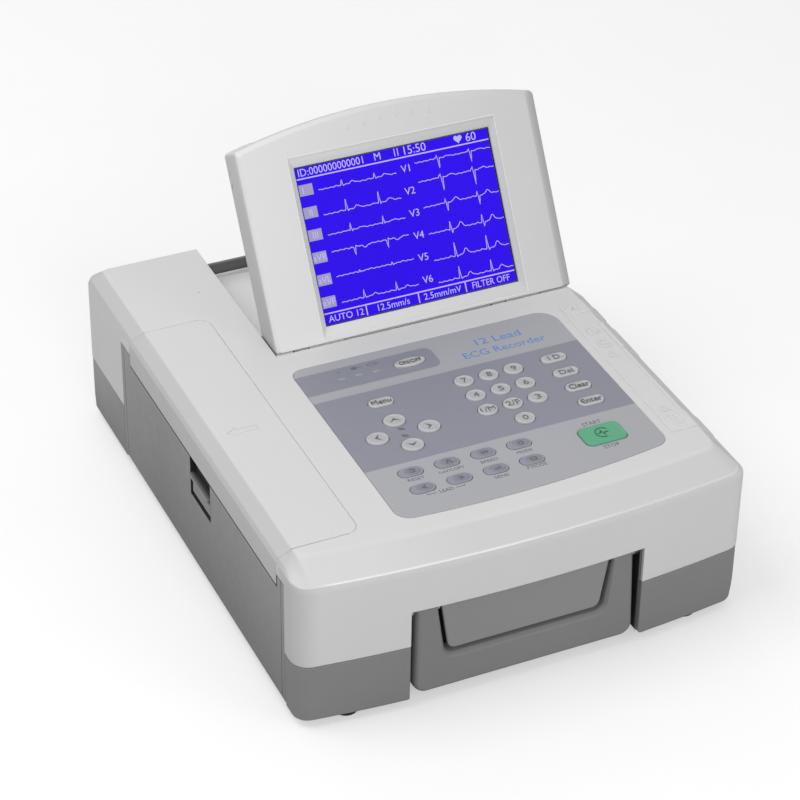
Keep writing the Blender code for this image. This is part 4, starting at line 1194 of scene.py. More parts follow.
# ------------------------------------------------------------------ paper door
def make_door():
    """The door follows the top shell's left edge and has a skirt down the side."""
    profile = [(-HALF_W + level[1], level[0]) for level in TOP_LEVELS if level[0] > LID_SKIRT_Z]
    x1 = LID_X1 + 0.45
    y0, y1 = LID_Y0 - 0.45, LID_Y1 + 0.45
    outer = [(x1, Z_TOP)] + list(reversed(profile)) + [(-HALF_W, LID_SKIRT_Z)]
    inner = [
        (-HALF_W + 2.2, LID_SKIRT_Z),
        (-HALF_W + 2.2, 91.4),
        (-HALF_W + 3.4, 94.4),
        (-HALF_W + 9.9, Z_TOP - 2.0),
        (x1 - 1.2, Z_TOP - 2.0),
        (x1, Z_TOP - 1.4),
    ]
    pin_x, pin_z = LID_PIN
    rib = [
        (pin_x - 4.5, Z_TOP - 1.0),
        (pin_x - 2.6, pin_z - 2.0),
        (pin_x + 2.0, pin_z - 2.0),
        (pin_x + 3.4, Z_TOP - 1.0),
    ]
    changes = []
    for y in (LID_Y0 + 0.6, -60.0, 18.0, LID_Y1 - 3.6):
        changes += join(prism("Y", rib, y, y + 3.0))
    # stiffening ribs under the door
    for y in (-100.0, -21.0, 54.0):
        changes += join(box(-121.0, -101.0, y, y + 1.4, Z_TOP - 5.4, Z_TOP - 1.2))
    # plan cut to the rounded outline, with a fine rebate that leaves a ledge under the seam
    for inset, radius, low in ((0.0, 6.85, 85.0), (0.22, 6.65, Z_TOP - 0.35)):
        plan = fillet(
            rect(-150, x1 - inset, y0 + inset, y1 - inset), [0, radius, radius, 0], 10
        )
        ring = box(-160, -60, -150, 110, low, 110)
        changes += cut(shaped(ring, cut(prism("Z", plan, low - 5, 120))))
    changes += cut(rod("Y", *LID_PIN, PIN_BORE, -140, 100, 16))
    solid = shaped(prism("Y", outer + inner, y0, y1), changes)
    piece(
        "paper_door_moulding", solid, "lid", "paper_lid", "shell_light", rides="door", edge=0.35
    )


def make_door_arrow():
    """Raised outline arrow on the door, pointing left."""
    x, y = -107.0, -23.0
    head, neck, half_head, half_shaft = 9.0, 3.4, 3.7, 1.7
    arrow = [
        (x - head, y), (x - neck, y + half_head), (x - neck, y + half_shaft),
        (x + head, y + half_shaft), (x + head, y - half_shaft),
        (x - neck, y - half_shaft), (x - neck, y - half_head),
    ]
    solid = ribbon(arrow, 0.5, Z_TOP - 0.4, Z_TOP + 0.34, closed=True)
    piece("door_arrow", solid, "lid", slot="shell_light", rides="door")


def make_door_pin():
    front, rear = WALL_FRONT[0], WALL_REAR[1]
    steps = [
        (front + 0.2, 0.8), (front + 0.5, PIN_RADIUS), (rear - 0.5, PIN_RADIUS), (rear - 0.2, 0.8),
    ]
    piece("door_pin", turned("Y", *LID_PIN, steps, 20), "steel", "lid_hinge_pin", "steel")


# ------------------------------------------------------------- left side panel
SIDE_X0, SIDE_X1 = -HALF_W + 0.25, -129.25  # outer and inner faces
SIDE_TOP = SIDE_Z1 - 1.0


def make_side_panel():
    y0, y1 = SIDE_Y0 + 0.3, SIDE_Y1 - 0.3
    changes = cut(
        box(-150, -120, LID_Y0 - 1.5, LID_Y1 + 1.5, LID_SKIRT_Z - 1.6, 100),
        box(-150, -120, -36.0, -6.0, 52.4, 100),
    )
    # fine vertical joint lines near both ends
    for y in (y0 + 4.2, y1 - 4.2):
        changes += cut(box(-140, SIDE_X0 + 0.35, y - 0.2, y + 0.2, -5, 90))
    section = [
        (SIDE_X0 + 1.9, FOOT_H + 0.5), (SIDE_X1, FOOT_H + 0.5), (SIDE_X1, SIDE_TOP),
        (SIDE_X0, SIDE_TOP), (SIDE_X0, FOOT_H + 9.0), (SIDE_X0 + 0.2, FOOT_H + 4.0),
        (SIDE_X0 + 0.6, FOOT_H + 1.9), (SIDE_X0 + 1.2, FOOT_H + 0.9),
    ]
    solid = shaped(prism("Y", section, y0, y1), changes)
    piece("side_panel_moulding", solid, "side", "side_panel", "case_grey", edge=0.3)

    # black strip, a painted shadow, in the gap above the panel: under the door's skirt and up past its
    # ends
    spans = (
        (LID_Y0 - 1.45, -36.3, LID_SKIRT_Z - 1.65, LID_SKIRT_Z - 0.15),
        (-5.7, LID_Y1 + 1.45, LID_SKIRT_Z - 1.65, LID_SKIRT_Z - 0.15),
        (LID_Y0 - 1.45, LID_Y0 - 0.6, LID_SKIRT_Z - 0.1, SIDE_Z1 - 0.1),
        (LID_Y1 + 0.6, LID_Y1 + 1.45, LID_SKIRT_Z - 0.1, SIDE_Z1 - 0.1),
        (y0 + 0.1, LID_Y0 - 1.5, SIDE_TOP - 0.05, SIDE_Z1 - 0.1),
        (LID_Y1 + 1.5, y1 - 0.1, SIDE_TOP - 0.05, SIDE_Z1 - 0.1),
    )
    shadow_strip = [box(SIDE_X0 + 0.2, SIDE_X1, *span) for span in spans]
    piece("side_gap_shadow_strip", together(shadow_strip), "rubber", slot="rubber")


def make_catch():
    """Flat button face, proud finger ledge and the tongue behind it; sections are (x, z)."""
    face = [
        (-129.4, 56.6), (-131.4, 56.6), (-131.75, 56.9), (-131.85, 57.6), (-131.85, 63.2),
        (-131.5, 64.2), (-129.4, 64.4),
    ]
    ledge = [
        (-125.6, 62.0), (-128.6, 62.0), (-131.5, 62.8), (-132.3, 64.4), (-132.95, 65.9),
        (-133.15, 66.5), (-133.2, 66.9), (-133.05, 67.2), (-132.7, 67.35), (-129.5, 67.1),
        (-129.1, 67.3), (-128.9, 68.0), (-128.3, 77.6), (-125.6, 77.6),
    ]
    solid = shaped(prism("Y", ledge, -34.6, -6.4), join(prism("Y", face, -35.75, -10.2)))
    piece("door_catch_slide", solid, "catch", "lid_catch", "case_grey", rides="catch", edge=0.2)
    # painted shadow: dark lining of the pocket around the catch
    pocket_shadow_walls = [
        box(-129.1, -124.9, -37.0, -36.1, 51.6, 78.4),
        box(SIDE_X0 + 0.15, -124.9, -6.25, -5.0, 52.4, 78.7),
        box(SIDE_X0 + 0.15, -124.9, -36.1, -5.9, 51.4, 52.5),
        box(-124.9, -124.2, -37.0, -5.0, 51.4, 78.4),
    ]
    piece("catch_pocket_shadow", together(pocket_shadow_walls), "rubber", slot="rubber")


# ------------------------------------------------------------------------ keys
# kind: (main finish, darker finish of the dish or finger ring as painted shade, dish depth, ink)
KEY_KINDS = {
    "text": ("key_light", "key_dish_shade", 0.36, "ink"),
    "arrow": ("key_light", "key_dish_shade", 0.36, "ink"),
    "blue": ("key_blue", "key_ring_shade", 0.0, "ink"),
    "green": ("key_green", "key_green", 0.12, "ink_green"),
}
BLUE_OUTLINE = stadium(14.2, 7.6)
# dish profile inside a key's rim: (scale of the outline, drop in dish depths)
DISHING = (
    (0.97, 0.04), (0.94, 0.35), (0.915, 1.15), (0.885, 1.55), (0.855, 1.5),
    (0.83, 1.1), (0.80, 1.0), (0.55, 1.0), (0.30, 1.0), (0.08, 1.0),
)
# blue key symbols, drawn round the finger ring's centre: (width, closed, paths)
SYMBOLS = {
    "reset": (0.5, False, [[(-1.5, 1.0), (0.6, 1.3), (1.6, 0), (0.4, -1.2), (-1.3, -0.9)]]),
    "copy": (0.5, False,
             [[(-2.0, -1.1), (-0.8, -1.1), (-0.8, 1.1), (0.9, 1.1), (0.9, -1.1), (2.0, -1.1)]]),
    "speed": (0.5, False,
              [[(-1.9, -1.0), (-0.4, 0), (-1.9, 1.0)], [(0.2, -1.0), (1.7, 0), (0.2, 1.0)]]),
    "mode": (0.5, True, [circle(0, 0, 1.35, 16)]),
    "lead_back": (0.6, False, [[(1.0, 1.3), (-1.0, 0), (1.0, -1.3)]]),
    "lead_next": (0.6, False, [[(-1.0, 1.3), (1.0, 0), (-1.0, -1.3)]]),
    "gain": (0.7, False,
             [[(-1.4 + 1.4 * k, -1.2), (-1.4 + 1.4 * k, -0.2 + 0.7 * k)] for k in range(3)]),
    "print": (0.45, True, [round_rect(-1.7, 1.7, -1.0, 1.0, 0.4, 2)]),
}


def key_rows():
    """Every key: (name, x, y, outline by growth, kind, legend).

    A text legend is (text, size, width); an arrow's is its turn in half turns.
    """
    digit_x, digit_y, pitch_x, pitch_y = 23.1, -28.4, 15.3, -15.1
    rows = [
        ("key_power", 3.0, 0.0, oval(18.8, 7.6), "text", ("ON/OFF", 3.3, 13.6)),
        ("key_menu", -28.0, -29.6, stadium(14.7, 7.5), "text", ("Menu", 4.3, 11.6)),
    ]
    for name, x, y, turn in (
        ("key_up", -28.1, -47.6, 0.0),
        ("key_right", -12.9, -60.0, -0.5),
        ("key_left", -43.4, -59.6, 0.5),
        ("key_down", -28.2, -72.0, 1.0),
    ):
        rows.append((name, x - 0.3, y - 0.6, oval(12.7, 11.0), "arrow", turn))
    for label, column, row in (
        (7, 0, 0), (8, 1, 0), (9, 2, 0), (4, 0, 1), (5, 1, 1),
        (6, 2, 1), (1, 0, 2), (2, 1, 2), (3, 2, 2), (0, 1, 3),
    ):
        text, fit = {1: ("1/M", 8.8), 2: ("2/F", 8.0)}.get(label, (str(label), 3.1))
        x, y = digit_x + pitch_x * column - 0.3, digit_y + pitch_y * row - 0.6
        rows.append((f"key_{label}", x, y, oval(11.4, 10.1), "text", (text, 4.4, fit)))
    legends = (
        ("id", "I D", 6.8), ("delete", "Del", 8.2), ("clear", "Clear", 11.8),
        ("enter", "Enter", 12.2),
    )
    for row, (label, text, fit) in enumerate(legends):
        y = digit_y + pitch_y * row
        rows.append((f"key_{label}", 78.9, y, stadium(15.4, 7.4), "text", (text, 4.4, fit)))
    for i, label in enumerate(SYMBOLS):
        row, column = divmod(i, 4)
        x, y = -39.9 + 21.4 * column, -94.4 - 15.6 * row
        rows.append((f"key_{label}", x, y, BLUE_OUTLINE, "blue", label))
    start = rounded_square(25.0, 16.4, 4.0)
    rows.append(("key_start_stop", 69.9, -104.0, start, "green", None))
    return rows


KEYS = key_rows()


def domed_key(outline, x, y, dish):
    """Straight skirt, rounded rim, a fine groove inside it and a sunk face in slot 2, darker as painted
    shade.
    """
    levels = [(KEY_FOOT, 0.0)] + rim(KEY_TOP, drop=1.15, inset=0.9, steps=5)
    rings = outline_rings("Z", lambda grow: placed(outline(grow), x, y), levels)
    face = outline(-0.9)
    sunk = [(KEY_TOP - dish * drop, scale) for scale, drop in DISHING]
    rings += scaled_rings(face, x, y, sunk)
    floor = KEY_TOP - dish
    steps = ((floor - 0.2, 0.82), (floor + 0.02, 0.82), (floor + 0.04, 0.80), (floor + 0.04, 0.1))
    return together([loft(rings), loft(scaled_rings(face, x, y, steps), 2)])


def blue_key(x, y):
    """A flat long key with a raised finger ring right of its middle, in slot 2, darker as painted
    shade.
    """
    flat = KEY_TOP - 0.6
    levels = [(KEY_FOOT, 0.0)] + rim(flat, drop=0.6, inset=0.6, steps=4)
    base = swept("Z", lambda grow: placed(BLUE_OUTLINE(grow), x, y), levels)
    # (height over the flat, scale)
    stations = (
        (-0.3, 1.06), (0.02, 1.06), (0.24, 1.02), (0.44, 0.95), (0.50, 0.86),
        (0.40, 0.74), (0.18, 0.62), (0.10, 0.45), (0.10, 0.10),
    )
    raised = [(flat + up, scale) for up, scale in stations]
    ring = scaled_rings(oval(8.9, 6.2)(0), x + 1.0, y + 0.1, raised)
    return together([base, loft(ring, 2)])


def blue_symbol(label, x, y):
    width, closed, paths = SYMBOLS[label]
    paths = [placed(path, x, y) for path in paths]
    return strokes(paths, width, KEY_TOP - 0.55, KEY_TOP - 0.25, 1, closed)


def green_symbol(x, y):
    """Shallow disc with a raised open ring and a pulse line through it."""
    low, high = KEY_TOP - 0.2, KEY_TOP + 0.16
    # (height over the key top, radius)
    steps = ((-0.3, 5.2), (0.02, 5.2), (0.10, 5.0), (0.02, 4.2), (-0.02, 2.0), (-0.03, 0.4))
    disc = turned("Z", x, y, [(KEY_TOP + up, radius) for up, radius in steps], 40, 2)
    turns = [math.radians(35 + 250 * k / 24) for k in range(25)]
    ring = [(x + 4.1 * math.cos(a), y + 4.1 * math.sin(a)) for a in turns]
    pulse = [(-3.0, -0.2), (-1.2, -0.2), (-0.5, 2.2), (0.6, -2.2), (1.3, -0.2), (3.4, -0.2)]
    return [disc] + strokes([ring, placed(pulse, x, y)], 0.6, low, high, 1)


def arrow_symbol(x, y, half_turns, low, high):
    spin = Matrix.Rotation(half_turns * math.pi, 2)
    arrow = [spin @ Vector(p) for p in ((-3.0, -1.7), (0.0, 1.8), (3.0, -1.7), (0.0, -0.2))]
    return prism("Z", [(x + p.x, y + p.y * 0.95) for p in arrow], low, high, 1)


def make_keys():
    for name, x, y, outline, kind, legend in KEYS:
        main, second, dish, ink = KEY_KINDS[kind]
        parts = [blue_key(x, y) if kind == "blue" else domed_key(outline, x, y, dish)]
        low = KEY_TOP - dish - 0.15
        if kind == "text":
            text, size, fit = legend
            high = KEY_TOP - 0.12 if fit < 10 else KEY_TOP + 0.03
            parts.append(lettering(text, size, x + 0.2, y, low, high, 1, fit=fit))
        elif kind == "arrow":
            parts.append(arrow_symbol(x, y, legend, low, KEY_TOP - dish + 0.16))
        elif kind == "blue":
            parts += blue_symbol(legend, x + 1.0, y + 0.1)
        else:
            parts += green_symbol(x, y)
        finishes = f"{main} {ink} {second}"
        piece(name + "_cap", together(parts), finishes, name, main, rides=name, smooth=40)


# ------------------------------------------------------------------- key panel
PRINT_LOW, PRINT_HIGH = PANEL_TOP - 0.15, PANEL_TOP + 0.03

LABELS = (  # text, x, y, size, width
    ("RESET", -39.6, -100.9, 2.5, 9.6),
    ("1mV/COPY", -18.8, -101.0, 2.4, 14.8),
    ("SPEED", 3.0, -101.5, 2.5, 10.2),
    ("MODE", 24.2, -101.3, 2.5, 9.0),
    ("LEAD", -29.0, -116.0, 2.6, 7.9),
    ("SENS", 3.0, -116.6, 2.5, 8.4),
    ("P.MODE", 24.4, -115.8, 2.5, 11.6),
    ("START", 69.2, -92.4, 3.1, 11.2),
    ("STOP", 69.6, -115.2, 3.1, 9.4),
)


def make_film():
    holes = [
        prism("Z", placed(outline(0.28), x, y), 90, 110) for _, x, y, outline, _, _ in KEYS
    ]
    film = padded(panel_outline, PANEL_TOP - 1.0, PANEL_TOP, 0.0, 0.2, 2)
    film = shaped(film, cut(*holes))
    piece("key_panel_film", film, "film", "keypad_overlay", "overlay", edge=0.07, edge_steps=1)


def panel_ink(name, parts, ink):
    piece(name, together(parts), ink, slot="overlay", smooth=30, normals=False)


def make_panel_print():
    labels = [
        lettering(text, size, x, y, PRINT_LOW, PRINT_HIGH, fit=fit)
        for text, x, y, size, fit in LABELS
    ]
    # hooks from both sides of LEAD up to the keys above
    for x_end, x_in in ((-39.9, -34.8), (-18.4, -23.4)):
        hook = [(x_end, -114.9), (x_end, -116.1), (x_in, -116.1)]
        labels.append(ribbon(hook, 0.4, PRINT_LOW, PRINT_HIGH))
    panel_ink("panel_labels", labels, "ink_soft")
    title = [
        lettering("12 Lead", 6.2, 59.5, 3.6, PRINT_LOW, PRINT_HIGH, fit=28.0),
        lettering("ECG Recorder", 5.8, 59.0, -6.6, PRINT_LOW, PRINT_HIGH, wide=1.06),
    ]
    panel_ink("panel_title", title, "ink_blue")
    # two marks between the arrow keys, then symbols over the lamps
    mark = [(-1.9, 1.7), (-1.5, -0.6), (1.9, -1.6), (1.2, 0.4)]
    marks = [
        prism("Z", placed(mark, x, y), PRINT_LOW, PRINT_HIGH + 0.1)
        for x, y in ((-27.9, -56.3), (-28.5, -63.0))
    ]
    plug = round_rect(-29.8, -26.6, 5.8, 8.4, 0.6, 3)
    frame = round_rect(-19.8, -14.6, 6.0, 8.2, 0.4, 2)
    marks += [
        ribbon([(-38.4, 6.8), (-36.8, 6.8)], 0.5, PRINT_LOW, PRINT_HIGH),
        prism("Z", plug, PRINT_LOW, PRINT_HIGH),
        ribbon([(-26.6, 7.1), (-23.8, 7.1)], 0.6, PRINT_LOW, PRINT_HIGH),
        ribbon(frame, 0.45, PRINT_LOW, PRINT_HIGH, closed=True),
        ribbon([(-14.2, 7.1), (-13.0, 7.1)], 0.6, PRINT_LOW, PRINT_HIGH),
    ]
    panel_ink("panel_marks", marks, "ink")


def make_lamps():
    # (height over the panel, scale)
    steps = ((-0.4, 1.0), (0.04, 1.0), (0.16, 0.92), (0.22, 0.7), (0.24, 0.3))
    stations = [(PANEL_TOP + up, scale) for up, scale in steps]
    outline = stadium(4.4, 2.2, 6)(0)
    places = ((-38.0, 0.3), (-27.6, 0.6), (-17.4, 0.1))
    lamps = [loft(scaled_rings(outline, x, y, stations)) for x, y in places]
    piece("indicator_lamps", together(lamps), "lamp", slot="overlay")


# --------------------------------------------------------------------- display
def display_ring(left, right, top, bottom, r_left=2.5, r_right=3.2, cap=None):
    """The display's outline in its own plane, with an inset for each side.

    Its top edge is an arc, cut off flat at the height cap if that is given.
    """
    low = DISP_LOW + bottom
    x0, x1 = DISP_X0 + left, DISP_X1 - right

    def top_y(x):
        y = DISP_LOW + 127.0 - top - (x - 32.0) ** 2 / 770.0
        return y if cap is None else min(y, DISP_LOW + cap)

    arc = [112 - 160 * k / 18 for k in range(19)]
    points = [(x1, low)] + [(x, top_y(x)) for x in (x1, *arc, x0)] + [(x0, low)]
    radii = [1.2, r_right] + [0] * len(arc) + [r_left, 1.2]
    return fillet(points, radii, 6)


def slab(rings):
    """A solid through (depth, outline) pairs; depth 0 is the display's face."""
    return loft([[(x, y, z + HINGE_B) for x, y in ring] for z, ring in rings])


def screen_rect(grow=0.0):
    x0, x1, y0, y1 = SCREEN
    return rect(x0 - grow, x1 + grow, DISP_LOW + y0 - grow, DISP_LOW + y1 + grow)


def display_piece(name, solid, finishes, node=None, slot="shell_light", **options):
    piece(name, solid, finishes, node, slot, rides="display", transform=DISPLAY, **options)


FRAME_EDGE = rect(-33.0, 96.2, DISP_LOW + 1.9, DISP_LOW + 106.6)  # outside of the slope


def make_bezel():
    # front edge: narrow chamfer on the left, a wide one on the right, a soft one on the arc
    levels = eased(
        [  # depth, then insets left, right, top and bottom
            (-19.0, 0.5, 0.0, 0.5, 0.5),
            (-18.5, 0.0, -0.5, 0.0, 0.0),
            (-5.2, 0.0, -0.7, 0.0, 0.0),
            (-3.0, 0.1, 1.5, 0.1, 0.0),
            (-2.0, 0.6, 3.0, 0.7, 0.0),
            (0.0, 2.6, 6.5, 2.7, 0.5),
            (0.0, 4.6, 8.5, 4.7, 1.3),
        ],
        [0, 0, 0.5, 0.6, 0.5, 0.55, 0],
        3,
    )
    rings = [(z, display_ring(*insets, 2.6, 3.4)) for z, *insets in levels]
    opening = screen_rect()
    beyond = [
        (x + (far_x - x) * 2.0, y + (far_y - y) * 2.0)
        for (x, y), (far_x, far_y) in zip(opening, FRAME_EDGE)
    ]
    cavity = [
        (-60.0, display_ring(2.6, 2.6, 2.6, 2.6, cap=114.0)),
        (-4.4, display_ring(2.6, 7.0, 3.2, 2.6, cap=114.0)),
    ]
    changes = cut(
        slab(cavity),
        slab([(-3.0, opening), (0.0, FRAME_EDGE), (3.0, beyond)]),
        slab([(-8.0, opening), (-2.4, opening)]),
        box(-80, 140, DISP_LOW + 119.0, 160, -40 + HINGE_B, -13.4 + HINGE_B),
    )
    for x0, x1 in CASE_KNUCKLES:
        changes += cut(rod("X", 0, 0, 2.6, x0 - 0.4, x1 + 0.4, 24))
    for x0, x1 in PANEL_KNUCKLES:
        changes += join(
            rod("X", 0, 0, 2.2, x0, x1, 24), box(x0, x1, 0.0, DISP_LOW + 1.4, -1.6, 1.2)
        )
    changes += cut(rod("X", 0, 0, PIN_BORE, -60, 120, 16))
    # small notches in the left edge
    for up in (95.6, 103.0):
        y = DISP_LOW + up
        changes += cut(box(-64.0, -60.9, y, y + 2.6, HINGE_B - 19.5, HINGE_B - 16.2))
    solid = shaped(slab(rings), changes)
    display_piece("display_bezel_moulding", solid, "display", "display_bezel", edge=0.3)


def make_bezel_marks():
    # raised bead round the frame's slope, paler than the display as a painted highlight
    highlight_bead = ribbon(FRAME_EDGE, 0.55, HINGE_B - 0.3, HINGE_B + 0.10, closed=True)
    display_piece("display_frame_bead_highlight", highlight_bead, "highlight_bead")
    # six raised ticks above the screen
    outline = stadium(3.8, 1.2, 4)
    places = (
        (6.4, 117.3), (16.4, 118.0), (26.7, 118.7), (36.8, 118.9), (46.5, 118.3), (57.1, 117.5),
    )
    ticks = [
        padded(
            lambda grow: placed(outline(grow), x, DISP_LOW + up, upright=True),
            HINGE_B - 0.4, HINGE_B + 0.45, 0, 0.3, 2,
        )
        for x, up in places
    ]
    display_piece("display_ticks", together(ticks), "display")


def make_display_back():
    # depth, inset of the sides and lower edge, height of the flat top
    levels = (
        (-DISP_T, 4.4, 115.4),
        (-DISP_T, 2.4, 117.0),
        (-DISP_T + 0.5, 1.1, 118.2),
        (-DISP_T + 1.6, 0.4, 118.7),
        (-19.3, 0, 119.0),
    )
    rings = [(z, display_ring(inset, inset, 0, inset, cap=cap)) for z, inset, cap in levels]
    deep = HINGE_B - 30
    cuts = []
    for k in range(9):
        x = -6.0 + 9.0 * k
        groove = placed(stadium(18.0, 3.4, 6)(0), x, DISP_LOW + 92.0, upright=True)
        cuts += cut(prism("Z", groove, deep, DISP_BACK + 0.9))
    for x, up in DISPLAY_SCREWS:
        cuts += cut(rod("Z", x, DISP_LOW + up, 3.4, deep, DISP_BACK + 1.4, 28))
    solid = shaped(slab(rings), cuts)
    display_piece("display_back_moulding", solid, "display", "display_back_cover", edge=0.2)
    screws = [
        screw("Z", x, DISP_LOW + up, DISP_BACK + 1.3, -1, 2.6) for x, up in DISPLAY_SCREWS
    ]
    display_piece("display_screws", together(screws), "screw", slot="steel")


def make_lcd():
    """Liquid crystal module: metal frame, black mask and the lit face."""
    back, front, mask = HINGE_B - 10.2, HINGE_B - 4.75, HINGE_B - 4.55
    parts = [box(-32.0, 96.0, DISP_LOW + 5.6, DISP_LOW + 103.6, back, front)]
    for x in (-34.5, 92.5):
        for up in (20, 84):
            y = DISP_LOW + up
            parts.append(box(x, x + 6, y, y + 4, back, HINGE_B - 8.8))
    parts.append(prism("Z", screen_rect(1.2), front, mask, 1))
    parts.append(prism("Z", screen_rect(-0.7), mask, SCREEN_FACE, 2))
    display_piece(
        "lcd_module", together(parts), "lcd_back mask screen", "lcd_panel", "screen", normals=False
    )


# screen rows: lead name, base height, then heights of the five waves of a beat
LEFT_LEADS = (
    ("I", 85.4, (0.3, -0.2, 3.0, -0.4, 1.2)),
    ("II", 71.0, (0.5, -0.3, 6.8, -0.6, 1.6)),
    ("III", 59.4, (0.2, -0.3, 4.2, -0.5, 0.7)),
    ("aVR", 49.6, (-0.3, 0.2, -4.9, 0.5, -1.4)),
    ("aVL", 35.3, (0.1, -0.4, 0.9, -0.7, 0.3)),
    ("aVF", 20.3, (0.3, -0.3, 4.4, -0.4, 1.1)),
)
RIGHT_LEADS = (
    ("V1", 88.7, (0.2, 0.6, 2.0, -6.2, 0.6)),
    ("V2", 77.6, (0.3, 1.4, 2.4, -8.6, 1.0)),
    ("V3", 62.7, (0.3, 0.4, 2.6, -5.4, 2.2)),
    ("V4", 47.2, (0.3, -0.3, 4.6, -2.8, 3.0)),
    ("V5", 31.6, (0.4, -0.5, 7.8, -0.9, 3.0)),
    ("V6", 18.6, (0.4, -0.4, 6.6, -0.5, 2.2)),
)


def beat(x, waves):
    """Height of one synthetic heart beat drawn round x = 0."""
    # place and width of each wave
    shapes = ((-3.4, 0.9), (-0.75, 0.32), (0.0, 0.38), (0.75, 0.36), (6.6, 1.7))
    return sum(
        wave * math.exp(-((x - place) / width) ** 2)
        for wave, (place, width) in zip(waves, shapes)
    )


def trace_path(index, base, waves, start, stop, beats):
    """One lead's trace with its beats and a slight wander."""
    steps = 150
    points = []
    for k in range(steps + 1):
        x = start + (stop - start) * k / steps
        y = base + sum(beat(x - place, waves) for place in beats)
        y += 0.16 * math.sin(x * 1.9 + index) + 0.10 * math.sin(x * 4.7 + 2 * index)
        points.append((x, y))
    return points


def heart_outline(x, y, size):
    turns = [2 * math.pi * k / 40 for k in range(40)]
    return [
        (
            x + size * 16 * math.sin(t) ** 3,
            y + size * (13 * math.cos(t) - 5 * math.cos(2 * t) - 2 * math.cos(3 * t) - math.cos(4 * t)),
        )
        for t in turns
    ]


def make_screen_picture():
    """Header, footer and two beats of each of the twelve leads with their names."""
    z0, z1 = SCREEN_FACE - 0.02, SCREEN_FACE + 0.05
    lines, tabs = [], []

    def stroke(points, width):
        lines.append(ribbon([(x, DISP_LOW + y) for x, y in points], width, z0, z1))

    def words(text, size, x, y, wide=1.0):
        lines.append(lettering(text, size, x, DISP_LOW + y, z0, z1, wide=wide))

    for y in (93.4, 15.9):
        stroke([(-28.1, y), (92.2, y)], 0.75)
    for x in (-2.5, 30.3, 60.2):
        stroke([(x, 15.9), (x, 9.8)], 0.7)
    words("ID:000000000001", 4.5, -6.6, 96.9, 0.93)
    words("M", 4.4, 22.4, 97.0)
    for x in (33.2, 35.2):
        stroke([(x, 99.3), (x, 94.9)], 0.55)
    words("15:50", 5.0, 45.9, 97.0)
    words("60", 5.0, 81.5, 97.0)
    lines.append(prism("Z", heart_outline(73.3, DISP_LOW + 97.2, 0.165), z0, z1))
    words("AUTO 12", 3.9, -15.3, 12.6)
    words("12.5mm/s", 3.9, 14.4, 12.6)
    words("2.5mm/mV", 3.9, 45.4, 12.6)
    words("FILTER OFF", 3.9, 76.4, 12.6, 0.92)

    name_top, name_pitch = 86.9, 12.95
    for index, (name, base, waves) in enumerate(LEFT_LEADS):
        stroke(trace_path(index, base, waves, -16.4, 31.9, (-2.0, 18.3)), 0.40)
        y = DISP_LOW + (name_top - name_pitch * index)
        tabs.append(box(-28.0, -19.6, y - 3.2, y + 3.2, z0, z1 - 0.02))
        x = -23.7 if len(name) > 1 else -25.6
        lines.append(lettering(name, 3.9, x, y, z0, z1 + 0.03, wide=0.98))
    for index, (name, base, waves) in enumerate(RIGHT_LEADS):
        stroke(trace_path(index, base, waves, 44.1, 92.1, (58.2, 78.6)), 0.40)
        words(name, 4.3, 37.9, name_top - name_pitch * index)
    display_piece("screen_traces", together(lines), "trace", slot="screen", normals=False)
    display_piece("screen_tabs", together(tabs), "tab", slot="screen", normals=False)


def make_display_pin():
    steps = [(-50.5, 0.8), (-50.2, PIN_RADIUS), (112.2, PIN_RADIUS), (112.5, 0.8)]
    pin = turned("X", HINGE_Y, HINGE_Z, steps, 20)
    piece("display_pin", pin, "steel", "display_hinge_pin", "steel")


# ---------------------------------------------------------------------- handle
def front_shape(half_top, half_low, z_top, z_low, r_top, r_low, grow):
    """A front-view outline (x, z) about the recess middle; its top edge does not grow."""
    points = [
        (MID - half_top - grow, z_top),
        (MID - half_low - grow, z_low - grow),
        (MID + half_low + grow, z_low - grow),
        (MID + half_top + grow, z_top),
    ]
    return fillet(points, [r_top, r_low + grow, r_low + grow, r_top], 8)


def make_handle():
    pivot_y, pivot_z = PIVOT
    # stations (y, growth) of the outside and of the opening
    body = (
        (-149.6, -3.0), (-149.6, -1.2), (-149.95, -0.5), (-150.8, 0), (-155.6, 0),
        (-157.4, -0.25), (-158.8, -0.9), (-159.7, -1.9), (-160.1, -3.2), (-160.1, -5.2),
    )
    hole = ((-180, 2.2), (-162.2, 2.2), (-160.9, 1.5), (-159.4, 0.3), (-158.4, 0.0), (-140, 0.0))
    rings = []
    for y, grow in body:
        outline = front_shape(64.0, 65.4, pivot_z + 6.6, 6.1, max(4.0 + grow, 0.4), 7.5, grow)
        # the handle leans forward towards its grip
        rings.append([(x, y - 2.0 * (pivot_z - z) / 51.0, z) for x, z in outline])
    crown = [
        (pivot_y - 5.8 * math.cos(math.pi * k / 18), pivot_z + 5.8 * math.sin(math.pi * k / 18))
        for k in range(19)
    ]
    over = [
        (pivot_y + 14, pivot_z), (pivot_y + 14, 75), (pivot_y - 14, 75), (pivot_y - 14, pivot_z),
    ]
    changes = cut(
        swept("Y", lambda grow: front_shape(54.5, 46.6, 80, 27.4, 0, 6.0, grow), hole),
        rod("X", *PIVOT, 2.3, -90, 90, 24),
        prism("X", crown + over, -90, 90),
    )
    # shallow finger grooves on the back of the grip
    for k in range(9):
        x = MID - 32 + 8 * k
        changes += cut(box(x - 1.2, x + 1.2, -151.6, -140, 11.0, 22.0))
    piece(
        "carry_handle_moulding", shaped(loft(rings), changes), "handle", "carry_handle",
        "case_grey", rides="handle", edge=0.4, edge_angle=35,
    )


